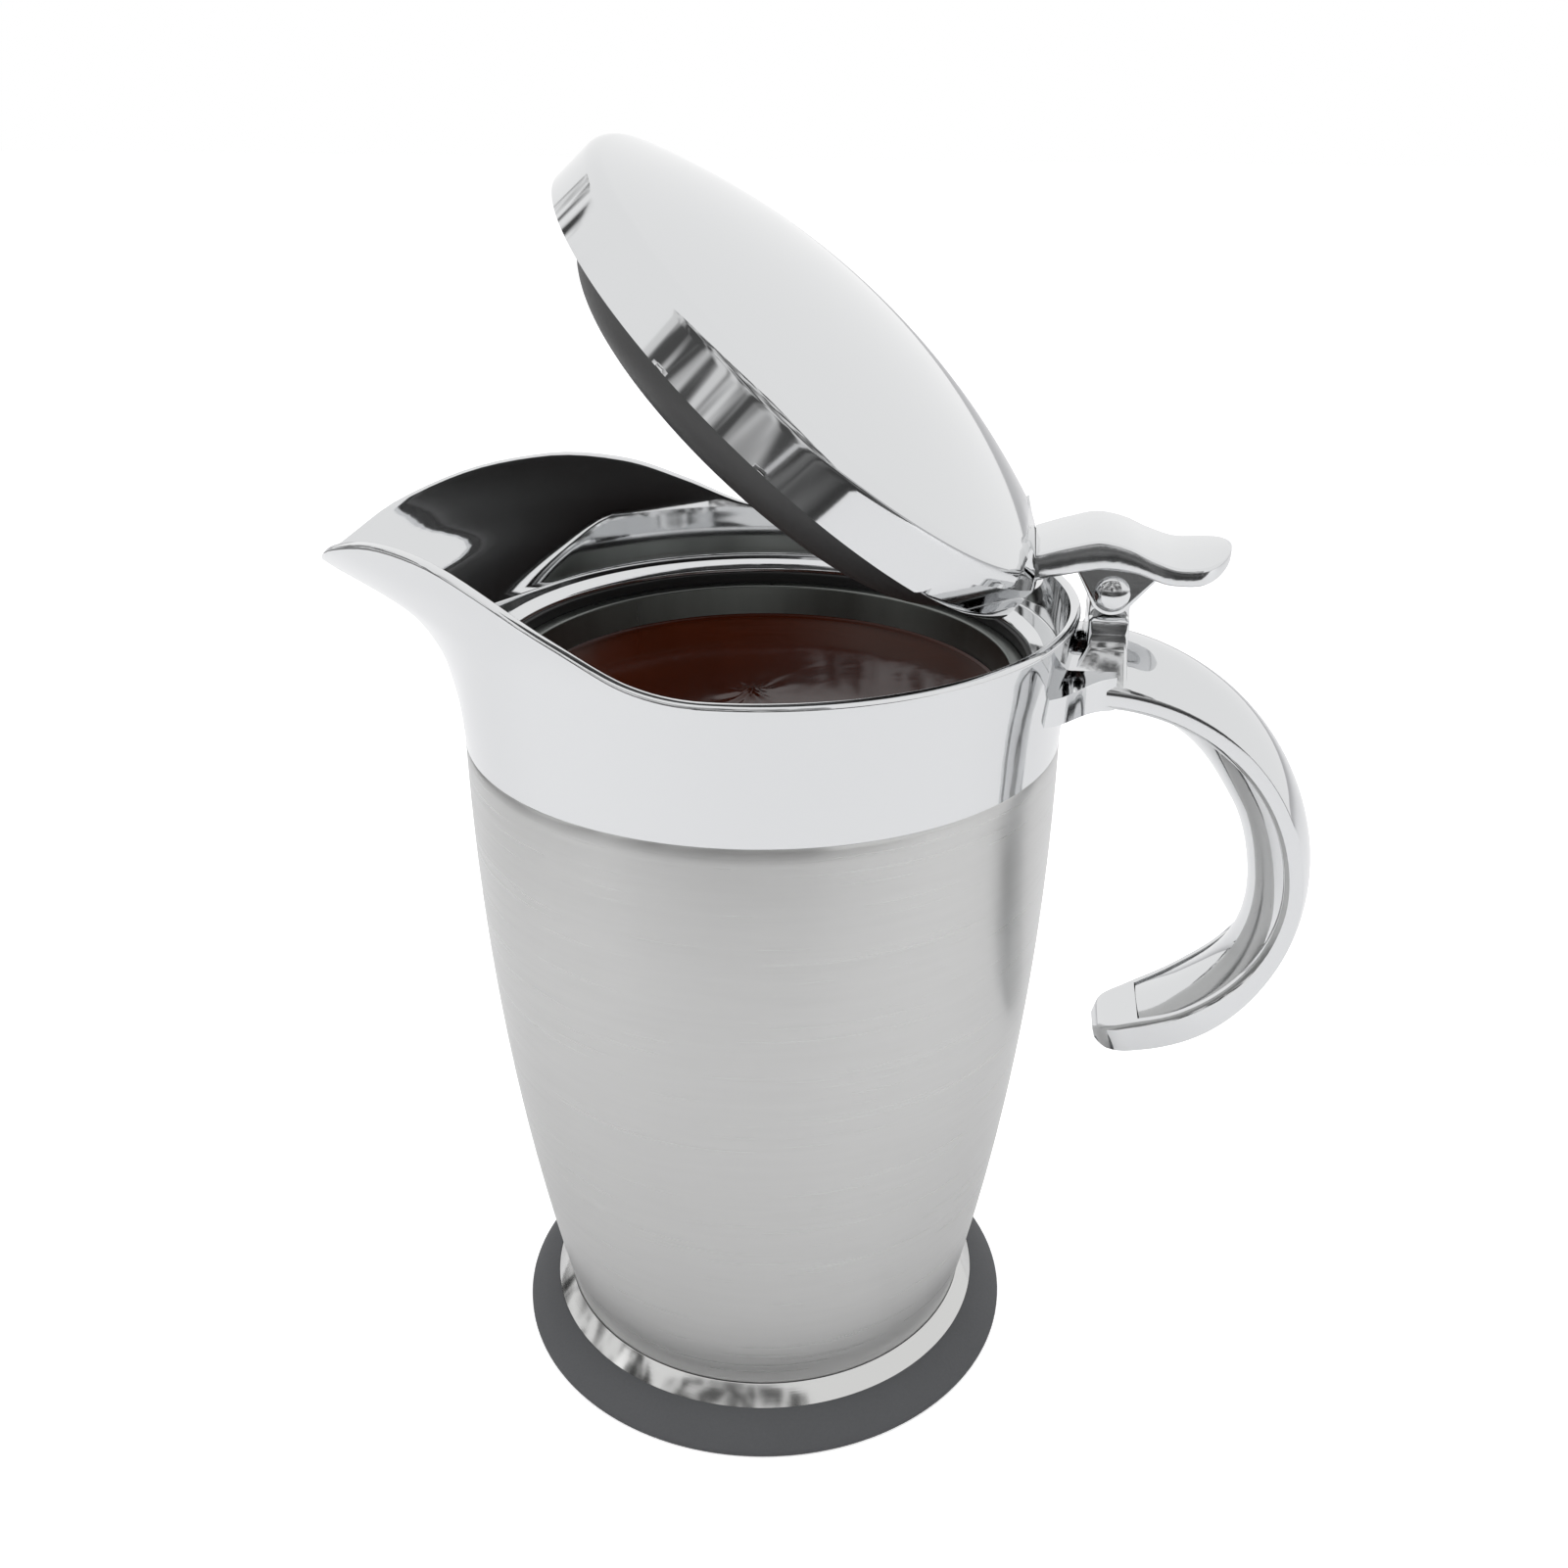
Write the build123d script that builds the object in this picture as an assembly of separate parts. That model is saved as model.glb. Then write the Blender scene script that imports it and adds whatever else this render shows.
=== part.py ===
from build123d import *
from math import acos, cos, hypot, radians, sin
import os

# Insulated pouring jug for syrup: a double-wall steel vessel on a non-slip base, with a
# chromed spout collar, an open C-handle and a lid that a thumb lever lifts about one pin.
# Millimetres. The origin is the centre of the underside, +Z is up, the spout points
# along -X, the handle along +X, and the lid's pin lies along Y.

os.makedirs("parts", exist_ok=True)

# ---- driving dimensions -----------------------------------------------------------------

# Fits between pieces
seat_gap = 0.10            # between rigid pieces that are pushed or glued together
pin_fit = 0.02             # radial, pin in the lever's ears, which grip it
running_fit = 0.08         # radial, pin in the post's bore

# Non-slip base
base_r = 50.4
base_edge_h = 1.2          # upright outer edge
base_floor_t = 2.0
base_top_z = 6.4           # where the base's slope meets the steel foot band
base_crown = 0.7           # how far the sloping face bulges
groove_r = (18.0, 30.0, 42.0)
groove_w = 1.6
groove_depth = 0.6

# Foot band, the polished flared ring between base and body
band_top_z = 9.8
band_r = 44.15             # where the base meets it
band_t = 0.8
band_flange_r = 35.0       # inner edge of the flange that the vessel stands on

# Steel vessel
body_foot_r = 41.3         # body at the top of the foot band
seam_z = 131.7             # where body and collar meet
seam_r = 54.0
body_belly = 3.4           # how far the body's side bows out from a straight cone
steel_t = 0.7
body_end_r = 40.6          # lower end of the body, inside the foot band
bottom_z = 6.6             # top of the disc that closes the body
neck_r = 49.2              # neck inside the collar
neck_top_z = 142.0
neck_round = 3.0
liner_r = 44.7             # mouth of the liner
liner_t = 0.6
liner_foot_r = 37.0
liner_floor_z = 14.0
liner_round = 9.0
lip_r = 47.4               # outer edge of the liner's flat lip
gasket_r = 49.4

# Spout collar
collar_t = 1.8
collar_in_r = 52.1         # skirt over the neck
rim_z = 156.0
seat_z = 146.8             # ledge that the lid rests on
seat_in_r = 50.2           # inner edge of the ledge's flat
ledge_in_r = 48.2
ledge_in_z = 145.4
ledge_under_z = 144.7
spout_floor_rise = 1.2     # how far the spout's inner face is lifted above the outer one
# Level sections of the spout: height, radius of the round part, reach of the nose from
# the axis, and the nose's own radius
spout_sections = (
    (seam_z, seam_r, seam_r + 0.4, 34.0),
    (138.5, 54.4, 57.4, 22.0),
    (146.0, 55.0, 61.2, 13.0),
    (153.0, 55.7, 68.6, 10.0),
    (159.0, 56.6, 80.2, 9.5),
    (165.0, 58.8, 87.0, 11.5),
    (172.0, 61.4, 89.5, 13.0),
)
# Side view of the rim: level behind, a wave over the spout's root, then down to the tip
rim_wave = ((0.0, rim_z), (-12.0, 157.6), (-24.0, 162.8), (-36.0, 167.8), (-50.0, 170.4),
            (-62.0, 169.3), (-73.0, 165.3), (-86.0, 157.2))

# Handle: sections round one centre, from the root down to the free tip
handle_x, handle_z = 56.5, 105.0
handle_bevel = 0.9
# angle, half width, inner radius, radius of the side's outer edge, radius of the crown,
# and how far the inner cover swells towards the hand
handle_sections = (
    (108.0, 11.8, 34.8, 38.9, 48.2, 0.0),
    (82.0, 11.5, 36.4, 39.9, 47.0, 0.5),
    (56.0, 11.1, 37.6, 41.0, 45.7, 3.2),
    (30.0, 10.8, 38.4, 41.6, 44.7, 5.4),
    (4.0, 10.6, 38.6, 41.8, 44.2, 5.2),
    (-22.0, 10.4, 37.0, 41.0, 43.5, 2.8),
    (-46.0, 10.1, 33.8, 39.4, 42.6, 1.2),
    (-64.0, 7.9, 32.2, 38.0, 40.4, 0.3),
    (-70.0, 7.0, 32.2, 37.5, 39.5, 0.0),
    (-74.0, 5.4, 32.8, 36.9, 38.5, 0.0),
    (-76.4, 3.0, 34.0, 36.2, 37.0, 0.0),
)
# The root flares out on the collar: its plan in X and half width, and its upper side from
# the middle outwards in half width and height
flare_plan = ((62.4, 11.0), (59.6, 12.1), (57.5, 13.8), (55.3, 16.4), (53.1, 19.0), (50.4, 20.8))
flare_top = ((6.0, 149.0), (11.5, 146.8), (21.5, 145.8))
flare_low_z = 141.0
cover_rim = 2.0            # width of the handle's rim beside the inner cover
cover_t = 1.9
cover_step = 0.35          # the cover's edge lies this far below the rim
cover_pocket = 3.2         # depth of the pocket that the cover sits in
cover_from, cover_to = 78.0, -60.0     # angles

# Lid hinge
pin_x, pin_z = 60.5, 160.9
pin_r = 1.75
pin_head_r = 3.0
pin_head_h = 1.5
knuckle_r = 3.4
knuckle_half_w = 5.2
washer_t = 0.4
washer_gap = 0.1
ear_in_y = knuckle_half_w + washer_t + 2 * washer_gap
ear_t = 2.2
ear_r = 3.7
lid_open = 42.0            # how far the lid stands open at rest, degrees

# Hinge post on the handle's root
post_x0, post_x1 = 57.1, 63.9
post_half_w = 8.0
post_top_z = 156.4
post_foot_z = 151.2        # where the post starts to flare into its foot
post_foot_x0, post_foot_x1 = 53.0, 64.2
post_foot_half_w = 11.2
post_root_z = 145.2
tenon_x, tenon_half_w = 4.4, 3.4       # peg: length along X, half width
tenon_low_z = 144.2

# Thumb lever, drawn level, as it lies when the lid stands open
# Half widths along the lever, seen from above; its end is a round paddle
lever_plan = ((47.4, 9.6), (58.0, 10.2), (68.0, 11.0), (73.8, 10.5), (78.2, 7.4), (80.0, 0.0))
lever_top = ((47.4, 167.4), (53.2, 169.2), (57.9, 170.2), (62.4, 169.4), (67.1, 167.4),
             (72.0, 166.2), (76.4, 166.7), (79.8, 167.9))
lever_under = ((80.6, 166.4), (76.8, 164.0), (73.0, 163.1), (69.0, 163.4), (64.2, 165.0),
               (59.6, 165.5), (53.0, 164.2), (48.0, 162.9))
tongue_x = 35.0            # front end of the lever's tongue, inside the lid
tongue_half_w = 7.6
tongue_z0, tongue_z1 = 152.8, 155.8

# Lid, drawn shut
lid_r = 51.95
lid_low_z = 147.1
lid_x = 0.5                # the lid's centre lies this far behind the vessel's axis
lid_apex_z = 166.0
lid_cap_r = 134.4          # radius of the shallow dome
lid_round = 3.0            # between skirt and dome
lid_draft = 0.9            # how much narrower the skirt is where it meets the dome
lid_t = 2.0
# Rear of the lid: the skirt is drawn in along a sweep, in half width and height above the
# lid's edge; above it a straight wall stands across the lid, and a neck runs to the lever
sweep = ((42.2, -1.5), (41.3, 0.6), (40.2, 2.6), (37.3, 4.7), (33.8, 5.9), (30.0, 6.5), (26.0, 6.8))
recess_r, recess_t = 51.1, 1.6         # the wall drawn in below the sweep
shelf_z = lid_low_z + sweep[-1][1]
rear_x, rear_t = 44.2, 1.6             # the straight wall
rear_slope_x = 41.6                    # the dome bends down to the wall from here
neck_plan = ((43.2, 13.2), (44.2, 13.2), (45.2, 11.0), (46.6, lever_plan[0][1]),
             (48.5, lever_plan[0][1]))
insert_flange_r = 49.3
insert_flange_t = 1.6
# The insert's side, in radius and depth below the lid's edge: top, middle, foot
insert_side = ((45.3, 0.6), (42.9, 5.6), (37.0, 9.0))
insert_t = 1.8
insulation_gap = 0.6

# Screws: pan heads with plain shanks
screw_r = 1.4
screw_head_r = 2.7
screw_head_h = 1.7
boss_r = 3.3
lever_screw_x, lever_screw_y = 39.5, 4.4
handle_screw_r = 1.3
handle_head_r = 2.4
handle_screw_l = 7.4
handle_screw_y, handle_screw_z = 6.0, 142.1


# ---- helpers ----------------------------------------------------------------------------

def spun(*edges):
    """A closed profile, in radius and height, turned about the vertical axis."""
    return revolve(make_face(Wire(list(edges))), Axis.Z)


def spun_outline(points):
    """A profile of straight runs, turned about the vertical axis."""
    return revolve(make_face(Polyline(*[(r, 0, z) for r, z in points], close=True)), Axis.Z)


def rz(r, z):
    return (r, 0, z)


def disc(radius, z0, z1, x=0.0, y=0.0):
    return Pos(x, y, z0) * Cylinder(radius, z1 - z0, align=(Align.CENTER, Align.CENTER, Align.MIN))


def across(radius, y0, y1, x=pin_x, z=pin_z):
    """A cylinder along Y."""
    return Pos(x, (y0 + y1) / 2, z) * Rot(90, 0, 0) * Cylinder(radius, y1 - y0)


def along(points, half_width):
    """A side-view outline of straight runs, thickened to both sides of the middle plane."""
    face = make_face(Polyline(*[(x, 0, z) for x, z in points], close=True))
    return extrude(face, amount=half_width, dir=(0, 1, 0), both=True)


def along_x(radius, x0, x1, side):
    """A cylinder along X at one of the two handle screws."""
    place = Pos((x0 + x1) / 2, side * handle_screw_y, handle_screw_z) * Rot(0, 90, 0)
    return place * Cylinder(radius, x1 - x0)


def pan_screw(length, shank_r, head_r):
    """Head below z = 0, shank standing up from it."""
    head = disc(head_r, -screw_head_h, 0)
    head = fillet(head.edges().group_by(Axis.Z)[0], 0.7)
    slot = Pos(0, 0, -screw_head_h) * Box(1.2 * head_r, 0.7, 1.2)
    return head + disc(shank_r, 0, length) - slot


def opened(shape):
    """Turns a piece of the shut lid about the pin to where the lid stands at rest."""
    return shape.rotate(Axis((pin_x, 0, pin_z), (0, 1, 0)), lid_open)


def save(name, *solids):
    shape = solids[0] if len(solids) == 1 else Compound(children=list(solids))
    export_step(shape, f"parts/{name}.step")


# ---- base and vessel --------------------------------------------------------------------

band_slope = (band_r - body_foot_r) / (band_top_z - base_top_z)
band_low_z = base_floor_t
band_low_r = band_r + band_slope * (base_top_z - band_low_z)


def make_non_slip_base():
    mid_r, mid_z = (base_r + band_r) / 2, (base_edge_h + base_top_z) / 2
    tilt = hypot(base_r - band_r, base_top_z - base_edge_h)
    bulge_r = base_crown * (base_top_z - base_edge_h) / tilt
    bulge_z = base_crown * (base_r - band_r) / tilt
    inner_top = rz(band_r + seat_gap, base_top_z)
    floor_edge = rz(band_low_r + seat_gap, base_floor_t)
    body = spun(
        Line(rz(0, 0), rz(base_r - 0.5, 0)),
        Line(rz(base_r - 0.5, 0), rz(base_r, 0.5)),
        Line(rz(base_r, 0.5), rz(base_r, base_edge_h)),
        ThreePointArc(rz(base_r, base_edge_h), rz(mid_r + bulge_r, mid_z + bulge_z), inner_top),
        Line(inner_top, floor_edge),
        Line(floor_edge, rz(0, base_floor_t)),
        Line(rz(0, base_floor_t), rz(0, 0)),
    )
    for r in groove_r:
        body -= disc(r + groove_w / 2, -1, groove_depth) - disc(r - groove_w / 2, -2, 2)
    return body


def make_foot_band():
    lip_r_in = body_foot_r + seat_gap
    inner_low_r = band_low_r - 1.6 * band_t
    flange_z = band_low_z + band_t
    return spun_outline([
        (lip_r_in, band_top_z), (band_low_r, band_low_z), (band_flange_r, band_low_z),
        (band_flange_r, flange_z), (inner_low_r, flange_z), (lip_r_in, band_top_z - 1.3),
    ])


def make_outer_bottom():
    rim_out = body_end_r - steel_t - seat_gap
    low_z = band_low_z + band_t
    return spun_outline([
        (0, bottom_z), (rim_out, bottom_z), (rim_out, low_z), (rim_out - steel_t, low_z),
        (rim_out - steel_t, bottom_z - steel_t), (0, bottom_z - steel_t),
    ])


def body_arc(inset):
    """The body's bowed side, moved in by a wall's thickness."""
    low, high = (body_foot_r - inset, band_top_z), (seam_r - inset, seam_z - 1.0)
    mid = ((low[0] + high[0]) / 2 + body_belly, (low[1] + high[1]) / 2)
    return low, mid, high


def make_outer_wall():
    low, mid, high = body_arc(0)
    low_in, mid_in, high_in = body_arc(steel_t)
    end_z = band_low_z + band_t
    neck_in = neck_r - steel_t
    top_in_r = liner_r + liner_t
    shoulder_z = seam_z - seat_gap
    round_in = neck_round - steel_t
    bend = sin(radians(45))
    return spun(
        Line(rz(body_end_r, end_z), rz(*low)),
        ThreePointArc(rz(*low), rz(*mid), rz(*high)),
        Line(rz(*high), rz(seam_r - 0.3, shoulder_z)),
        Line(rz(seam_r - 0.3, shoulder_z), rz(neck_r, shoulder_z)),
        Line(rz(neck_r, shoulder_z), rz(neck_r, neck_top_z - neck_round)),
        ThreePointArc(
            rz(neck_r, neck_top_z - neck_round),
            rz(neck_r - neck_round * (1 - bend), neck_top_z - neck_round * (1 - bend)),
            rz(neck_r - neck_round, neck_top_z)),
        Line(rz(neck_r - neck_round, neck_top_z), rz(top_in_r, neck_top_z)),
        Line(rz(top_in_r, neck_top_z), rz(top_in_r, neck_top_z - steel_t)),
        Line(rz(top_in_r, neck_top_z - steel_t), rz(neck_r - neck_round, neck_top_z - steel_t)),
        ThreePointArc(
            rz(neck_r - neck_round, neck_top_z - steel_t),
            rz(neck_in - round_in * (1 - bend), neck_top_z - steel_t - round_in * (1 - bend)),
            rz(neck_in, neck_top_z - neck_round)),
        Line(rz(neck_in, neck_top_z - neck_round), rz(neck_in, shoulder_z - steel_t)),
        Line(rz(neck_in, shoulder_z - steel_t), rz(high_in[0], shoulder_z - 2 * steel_t)),
        Line(rz(high_in[0], shoulder_z - 2 * steel_t), rz(*high_in)),
        ThreePointArc(rz(*high_in), rz(*mid_in), rz(*low_in)),
        Line(rz(*low_in), rz(body_end_r - steel_t, end_z)),
        Line(rz(body_end_r - steel_t, end_z), rz(body_end_r, end_z)),
    )


def liner_cup(radius, foot_radius, floor_z, top_z, corner):
    """A solid cup shape with a rounded foot."""
    side = Polyline(rz(0, floor_z), rz(foot_radius, floor_z), rz(radius, top_z), rz(0, top_z),
                    close=True)
    face = make_face(side)
    foot = face.vertices().sort_by_distance(rz(foot_radius, floor_z))[0]
    return revolve(fillet(foot, corner), Axis.Z)


def make_inner_liner():
    lip_z = neck_top_z + liner_t
    outside = liner_cup(liner_r + liner_t, liner_foot_r + liner_t, liner_floor_z - liner_t,
                        neck_top_z, liner_round + liner_t)
    lip = disc(lip_r, neck_top_z, lip_z)
    lip = fillet(lip.edges().group_by(Axis.Z)[-1], 0.25)
    inside = liner_cup(liner_r, liner_foot_r, liner_floor_z, lip_z + 1, liner_round)
    return outside + lip - inside


def make_seam_gasket():
    z0 = seam_z - seat_gap
    r0, r1 = neck_r + seat_gap, collar_in_r - seat_gap
    ring = disc(r1, z0, z0 + 1.6) - disc(r0, z0 - 1, z0 + 3)
    return fillet(ring.edges().group_by(Axis.Z)[-1], 0.4)


def make_liner_gasket():
    r0 = lip_r + seat_gap
    top = ledge_under_z - seat_gap
    bend = sin(radians(45))
    low_z = neck_top_z - neck_round
    turn = neck_round + seat_gap
    shoulder_r = neck_r - neck_round
    bottom_r = shoulder_r + turn * cos(radians(30))
    bottom_z = low_z + turn * sin(radians(30))
    return spun(
        Line(rz(r0, top), rz(gasket_r, top)),
        Line(rz(gasket_r, top), rz(gasket_r, bottom_z)),
        Line(rz(gasket_r, bottom_z), rz(bottom_r, bottom_z)),
        ThreePointArc(rz(bottom_r, bottom_z),
                      rz(shoulder_r + turn * bend, low_z + turn * bend),
                      rz(r0, low_z + (turn ** 2 - (r0 - shoulder_r) ** 2) ** 0.5)),
        Line(rz(r0, low_z + (turn ** 2 - (r0 - shoulder_r) ** 2) ** 0.5), rz(r0, top)),
    )


# ---- spout collar -----------------------------------------------------------------------

def spout_level(radius, reach, nose_r, z):
    """Level section: a circle and a small nose circle, joined by their common tangents."""
    centre = reach - nose_r
    lean = acos((radius - nose_r) / centre)
    cx, sy = cos(lean), sin(lean)
    back_left, back_right = (-radius * cx, radius * sy), (-radius * cx, -radius * sy)
    nose_left = (-centre - nose_r * cx, nose_r * sy)
    nose_right = (-centre - nose_r * cx, -nose_r * sy)
    edges = [
        ThreePointArc(back_right, (radius, 0), back_left),
        Line(back_left, nose_left),
        ThreePointArc(nose_left, (-reach, 0), nose_right),
        Line(nose_right, back_right),
    ]
    return Pos(0, 0, z) * make_face(Wire(edges))


def make_spout_outside():
    return loft([spout_level(r, reach, nose, z) for z, r, reach, nose in spout_sections])


def make_spout_inside():
    sections = []
    for z, r, reach, nose in spout_sections[1:]:
        inner_nose = max(nose - collar_t, nose / 2)
        level = spout_level(r - collar_t, reach - collar_t, inner_nose, z + spout_floor_rise)
        sections.append(level)
    return loft(sections)


def make_above_rim():
    """Everything above the rim's side view."""
    top = 190.0
    tail = rim_wave[-1]
    wave = Spline(*[(x, 0, z) for x, z in rim_wave], tangents=((-1, 0, 0), (-0.8, 0, -0.6)))
    runs = Polyline((tail[0], 0, tail[1]), (-130, 0, tail[1]), (-130, 0, top), (90, 0, top),
                    (90, 0, rim_z), (0, 0, rim_z))
    return extrude(make_face(Wire([wave] + runs.edges())), amount=90, dir=(0, 1, 0), both=True)


def make_collar(outside, inside):
    hollow = inside - disc(120, seam_z - 10, seat_z)
    body = outside - hollow
    skirt_room = disc(collar_in_r, seam_z - 5, ledge_under_z)
    ledge_bore = spun_outline([
        (0, seam_z), (ledge_in_r, seam_z), (ledge_in_r, ledge_in_z), (seat_in_r, seat_z),
        (seat_in_r, seat_z + 0.5), (0, seat_z + 0.5),
    ])
    body -= skirt_room + ledge_bore
    for side in (-1, 1):
        body -= along_x(handle_screw_r + seat_gap, collar_in_r - 3, collar_in_r + 6, side)
    return body - make_above_rim()


# ---- handle -----------------------------------------------------------------------------

# The screw heads bear on the collar's round inner wall at their outer edges
handle_screw_x = (collar_in_r ** 2 - (handle_screw_y + handle_head_r) ** 2) ** 0.5


def on_handle(angle, u, r):
    """A point of the handle: angle round its centre, place across it, and radius."""
    a = radians(angle)
    return (handle_x + r * cos(a), u, handle_z + r * sin(a))


def handle_face(angle, half_w, r_in, r_side, r_crown, swell):
    b = handle_bevel * half_w / handle_sections[0][1]
    points = [
        on_handle(angle, half_w - b, r_in), on_handle(angle, half_w, r_in + b),
        on_handle(angle, half_w, r_side), on_handle(angle, -half_w, r_side),
        on_handle(angle, -half_w, r_in + b), on_handle(angle, -half_w + b, r_in),
    ]
    return make_face(Wire([
        Line(points[0], points[1]),
        Line(points[1], points[2]),
        ThreePointArc(points[2], on_handle(angle, 0, r_crown), points[3]),
        Line(points[3], points[4]),
        Line(points[4], points[5]),
        Line(points[5], points[0]),
    ]))


def blend(angle):
    """The handle's section sizes at an angle between two of the listed ones."""
    for upper, lower in zip(handle_sections, handle_sections[1:]):
        if lower[0] <= angle <= upper[0]:
            t = (upper[0] - angle) / (upper[0] - lower[0])
            return [a + t * (b - a) for a, b in zip(upper[1:], lower[1:])]
    return list(handle_sections[-1][1:])


def pocket_face(angle, margin, r_low, r_high, bulge):
    """Section of the pocket or the cover, its face to the hand bowed by the bulge."""
    half_w, r_in, r_side, r_crown, swell = blend(angle)
    w = half_w - cover_rim - margin
    low = [on_handle(angle, u, r_in + r_low) for u in (-w, w)]
    high = [on_handle(angle, u, r_in + r_high) for u in (w, -w)]
    return make_face(Wire([
        ThreePointArc(low[0], on_handle(angle, 0, r_in + r_low - bulge - swell), low[1]),
        Line(low[1], high[0]),
        Line(high[0], high[1]),
        Line(high[1], low[0]),
    ]))


def strip(margin, r_low, r_high, bulge, end_gap):
    steps = 9
    first, last = cover_from - end_gap, cover_to + end_gap
    angles = [first + (last - first) * i / (steps - 1) for i in range(steps)]
    return loft([pocket_face(a, margin, r_low, r_high, bulge) for a in angles])


def make_root_flare():
    near = Spline(*[(x, -w, flare_low_z) for x, w in flare_plan])
    far = Spline(*[(x, w, flare_low_z) for x, w in reversed(flare_plan)])
    front = Polyline(near @ 1, (46, -flare_plan[-1][1], flare_low_z),
                     (46, flare_plan[-1][1], flare_low_z), far @ 0)
    plan = make_face(Wire([near, far, Line(far @ 1, near @ 0)] + front.edges()))
    side = [(46, w, z) for w, z in flare_top] + [(46, flare_top[-1][0], flare_low_z)]
    outline = [(x, -y, z) for x, y, z in reversed(side)] + side
    room = extrude(make_face(Polyline(*outline, close=True)), amount=20, dir=(1, 0, 0))
    return extrude(plan, amount=12, dir=(0, 0, 1)) & room


def make_handle_outside():
    return loft([handle_face(*section) for section in handle_sections]) + make_root_flare()


def make_handle_shell(outside, collar_outside):
    body = outside - collar_outside
    body -= strip(0, -3.0, cover_pocket, 0.3, 0)
    for side in (-1, 1):
        body -= along_x(handle_screw_r, collar_in_r, handle_screw_x + handle_screw_l + 0.4, side)
    return body - post_tenon(seat_gap)


def make_handle_cover():
    return strip(seat_gap, cover_step, cover_step + cover_t, 0.3, 0.2)


def handle_screws():
    """Two screws from inside the collar's skirt into the handle's root."""
    screws = []
    for side in (-1, 1):
        place = Pos(handle_screw_x, side * handle_screw_y, handle_screw_z) * Rot(0, 90, 0)
        screws.append(place * pan_screw(handle_screw_l, handle_screw_r - 0.05, handle_head_r))
    return screws


# ---- hinge ------------------------------------------------------------------------------

def post_tenon(margin):
    """The post's peg, glued into the handle's root."""
    x, top = (post_x0 + post_x1) / 2, post_top_z - 1
    height = top - tenon_low_z + margin
    return Pos(x, 0, top - height / 2) * Box(
        tenon_x + 2 * margin, 2 * (tenon_half_w + margin), height)


def make_hinge_post(handle_outside, collar_outside):
    foot = loft([
        Pos((post_foot_x0 + post_foot_x1) / 2, 0, post_root_z)
        * Rectangle(post_foot_x1 - post_foot_x0, 2 * post_foot_half_w),
        Pos((post_x0 + post_x1) / 2, 0, post_foot_z) * Rectangle(post_x1 - post_x0, 2 * post_half_w),
    ], ruled=True)
    column = Pos((post_x0 + post_x1) / 2, 0, post_foot_z) * Box(
        post_x1 - post_x0, 2 * post_half_w, post_top_z - post_foot_z,
        align=(Align.CENTER, Align.CENTER, Align.MIN))
    top_edges = column.edges().group_by(Axis.Z)[-1]
    column = chamfer(top_edges, 0.6)
    knuckle = across(knuckle_r, -knuckle_half_w, knuckle_half_w)
    web = along([(pin_x - knuckle_r, post_top_z - 1), (pin_x + knuckle_r, post_top_z - 1),
                 (pin_x + knuckle_r, pin_z), (pin_x - knuckle_r, pin_z)], knuckle_half_w)
    post = foot + column + web + knuckle
    post -= across(pin_r + running_fit, -20, 20)
    return post - handle_outside - collar_outside + post_tenon(0)


def make_hinge_pin():
    end = ear_in_y + ear_t
    shank = across(pin_r, -end, end + 1.2)
    head = across(pin_head_r, -end - pin_head_h, -end - 0.02)
    head = fillet(head.edges().group_by(Axis.Y)[0], pin_head_h * 0.85)
    return shank + across(pin_r, -end - 0.5, -end) + head


def make_pin_cap():
    end = ear_in_y + ear_t
    cap = across(pin_head_r, end + 0.05, end + 0.05 + pin_head_h + 0.4)
    cap = fillet(cap.edges().group_by(Axis.Y)[-1], pin_head_h * 0.85)
    return cap - across(pin_r + pin_fit, end - 1, end + 1.2 + seat_gap)


def hinge_washers():
    rings = []
    for side in (-1, 1):
        y0 = side * (knuckle_half_w + washer_gap)
        y1 = side * (knuckle_half_w + washer_gap + washer_t)
        lo, hi = min(y0, y1), max(y0, y1)
        rings.append(across(knuckle_r - 0.2, lo, hi) - across(pin_r + pin_fit, lo - 1, hi + 1))
    return rings


# ---- lid and lever ----------------------------------------------------------------------

def lever_arm():
    """The S-shaped plate and its two ears, drawn level."""
    top = Spline(*[(x, 0, z) for x, z in lever_top])
    under = Spline(*[(x, 0, z) for x, z in lever_under])
    face = make_face(Wire([
        top, Line(top @ 1, under @ 0), under, Line(under @ 1, top @ 0),
    ]))
    plate = extrude(face, amount=20, dir=(0, 1, 0), both=True)
    near = [(x, -w, 150) for x, w in lever_plan]
    far = [(x, w, 150) for x, w in reversed(lever_plan[:-1])]
    outline = Spline(*near, *far)
    plan = make_face(Wire([outline, Line(outline @ 1, outline @ 0)]))
    plate &= extrude(plan, amount=40, dir=(0, 0, 1))
    ear_top = pin_z + 4.9
    ear_face = make_face(Polyline((53.8, 0, ear_top), (68.6, 0, ear_top - 1.2),
                                  (pin_x + ear_r * 0.9, 0, pin_z - ear_r * 0.45),
                                  (pin_x - ear_r * 0.9, 0, pin_z - ear_r * 0.45), close=True))
    ears = []
    for side in (-1, 1):
        y_mid = side * (ear_in_y + ear_t / 2)
        blade = extrude(ear_face, amount=ear_t / 2, dir=(0, 1, 0), both=True)
        ear = Pos(0, y_mid, 0) * blade + across(ear_r, y_mid - ear_t / 2, y_mid + ear_t / 2)
        ears.append(ear)
    return plate + ears[0] + ears[1] - across(pin_r + pin_fit, -20, 20)


def shut(shape):
    """Turns the level lever to where it stands when the lid is shut."""
    return shape.rotate(Axis((pin_x, 0, pin_z), (0, 1, 0)), -lid_open)


def shut_point(x, z):
    """Where a point of the level lever stands when the lid is shut."""
    c, k = cos(radians(lid_open)), sin(radians(lid_open))
    return (pin_x + (x - pin_x) * c - (z - pin_z) * k, pin_z + (x - pin_x) * k + (z - pin_z) * c)


joint_top, joint_low = shut_point(*lever_top[0]), shut_point(*lever_under[-1])


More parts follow.
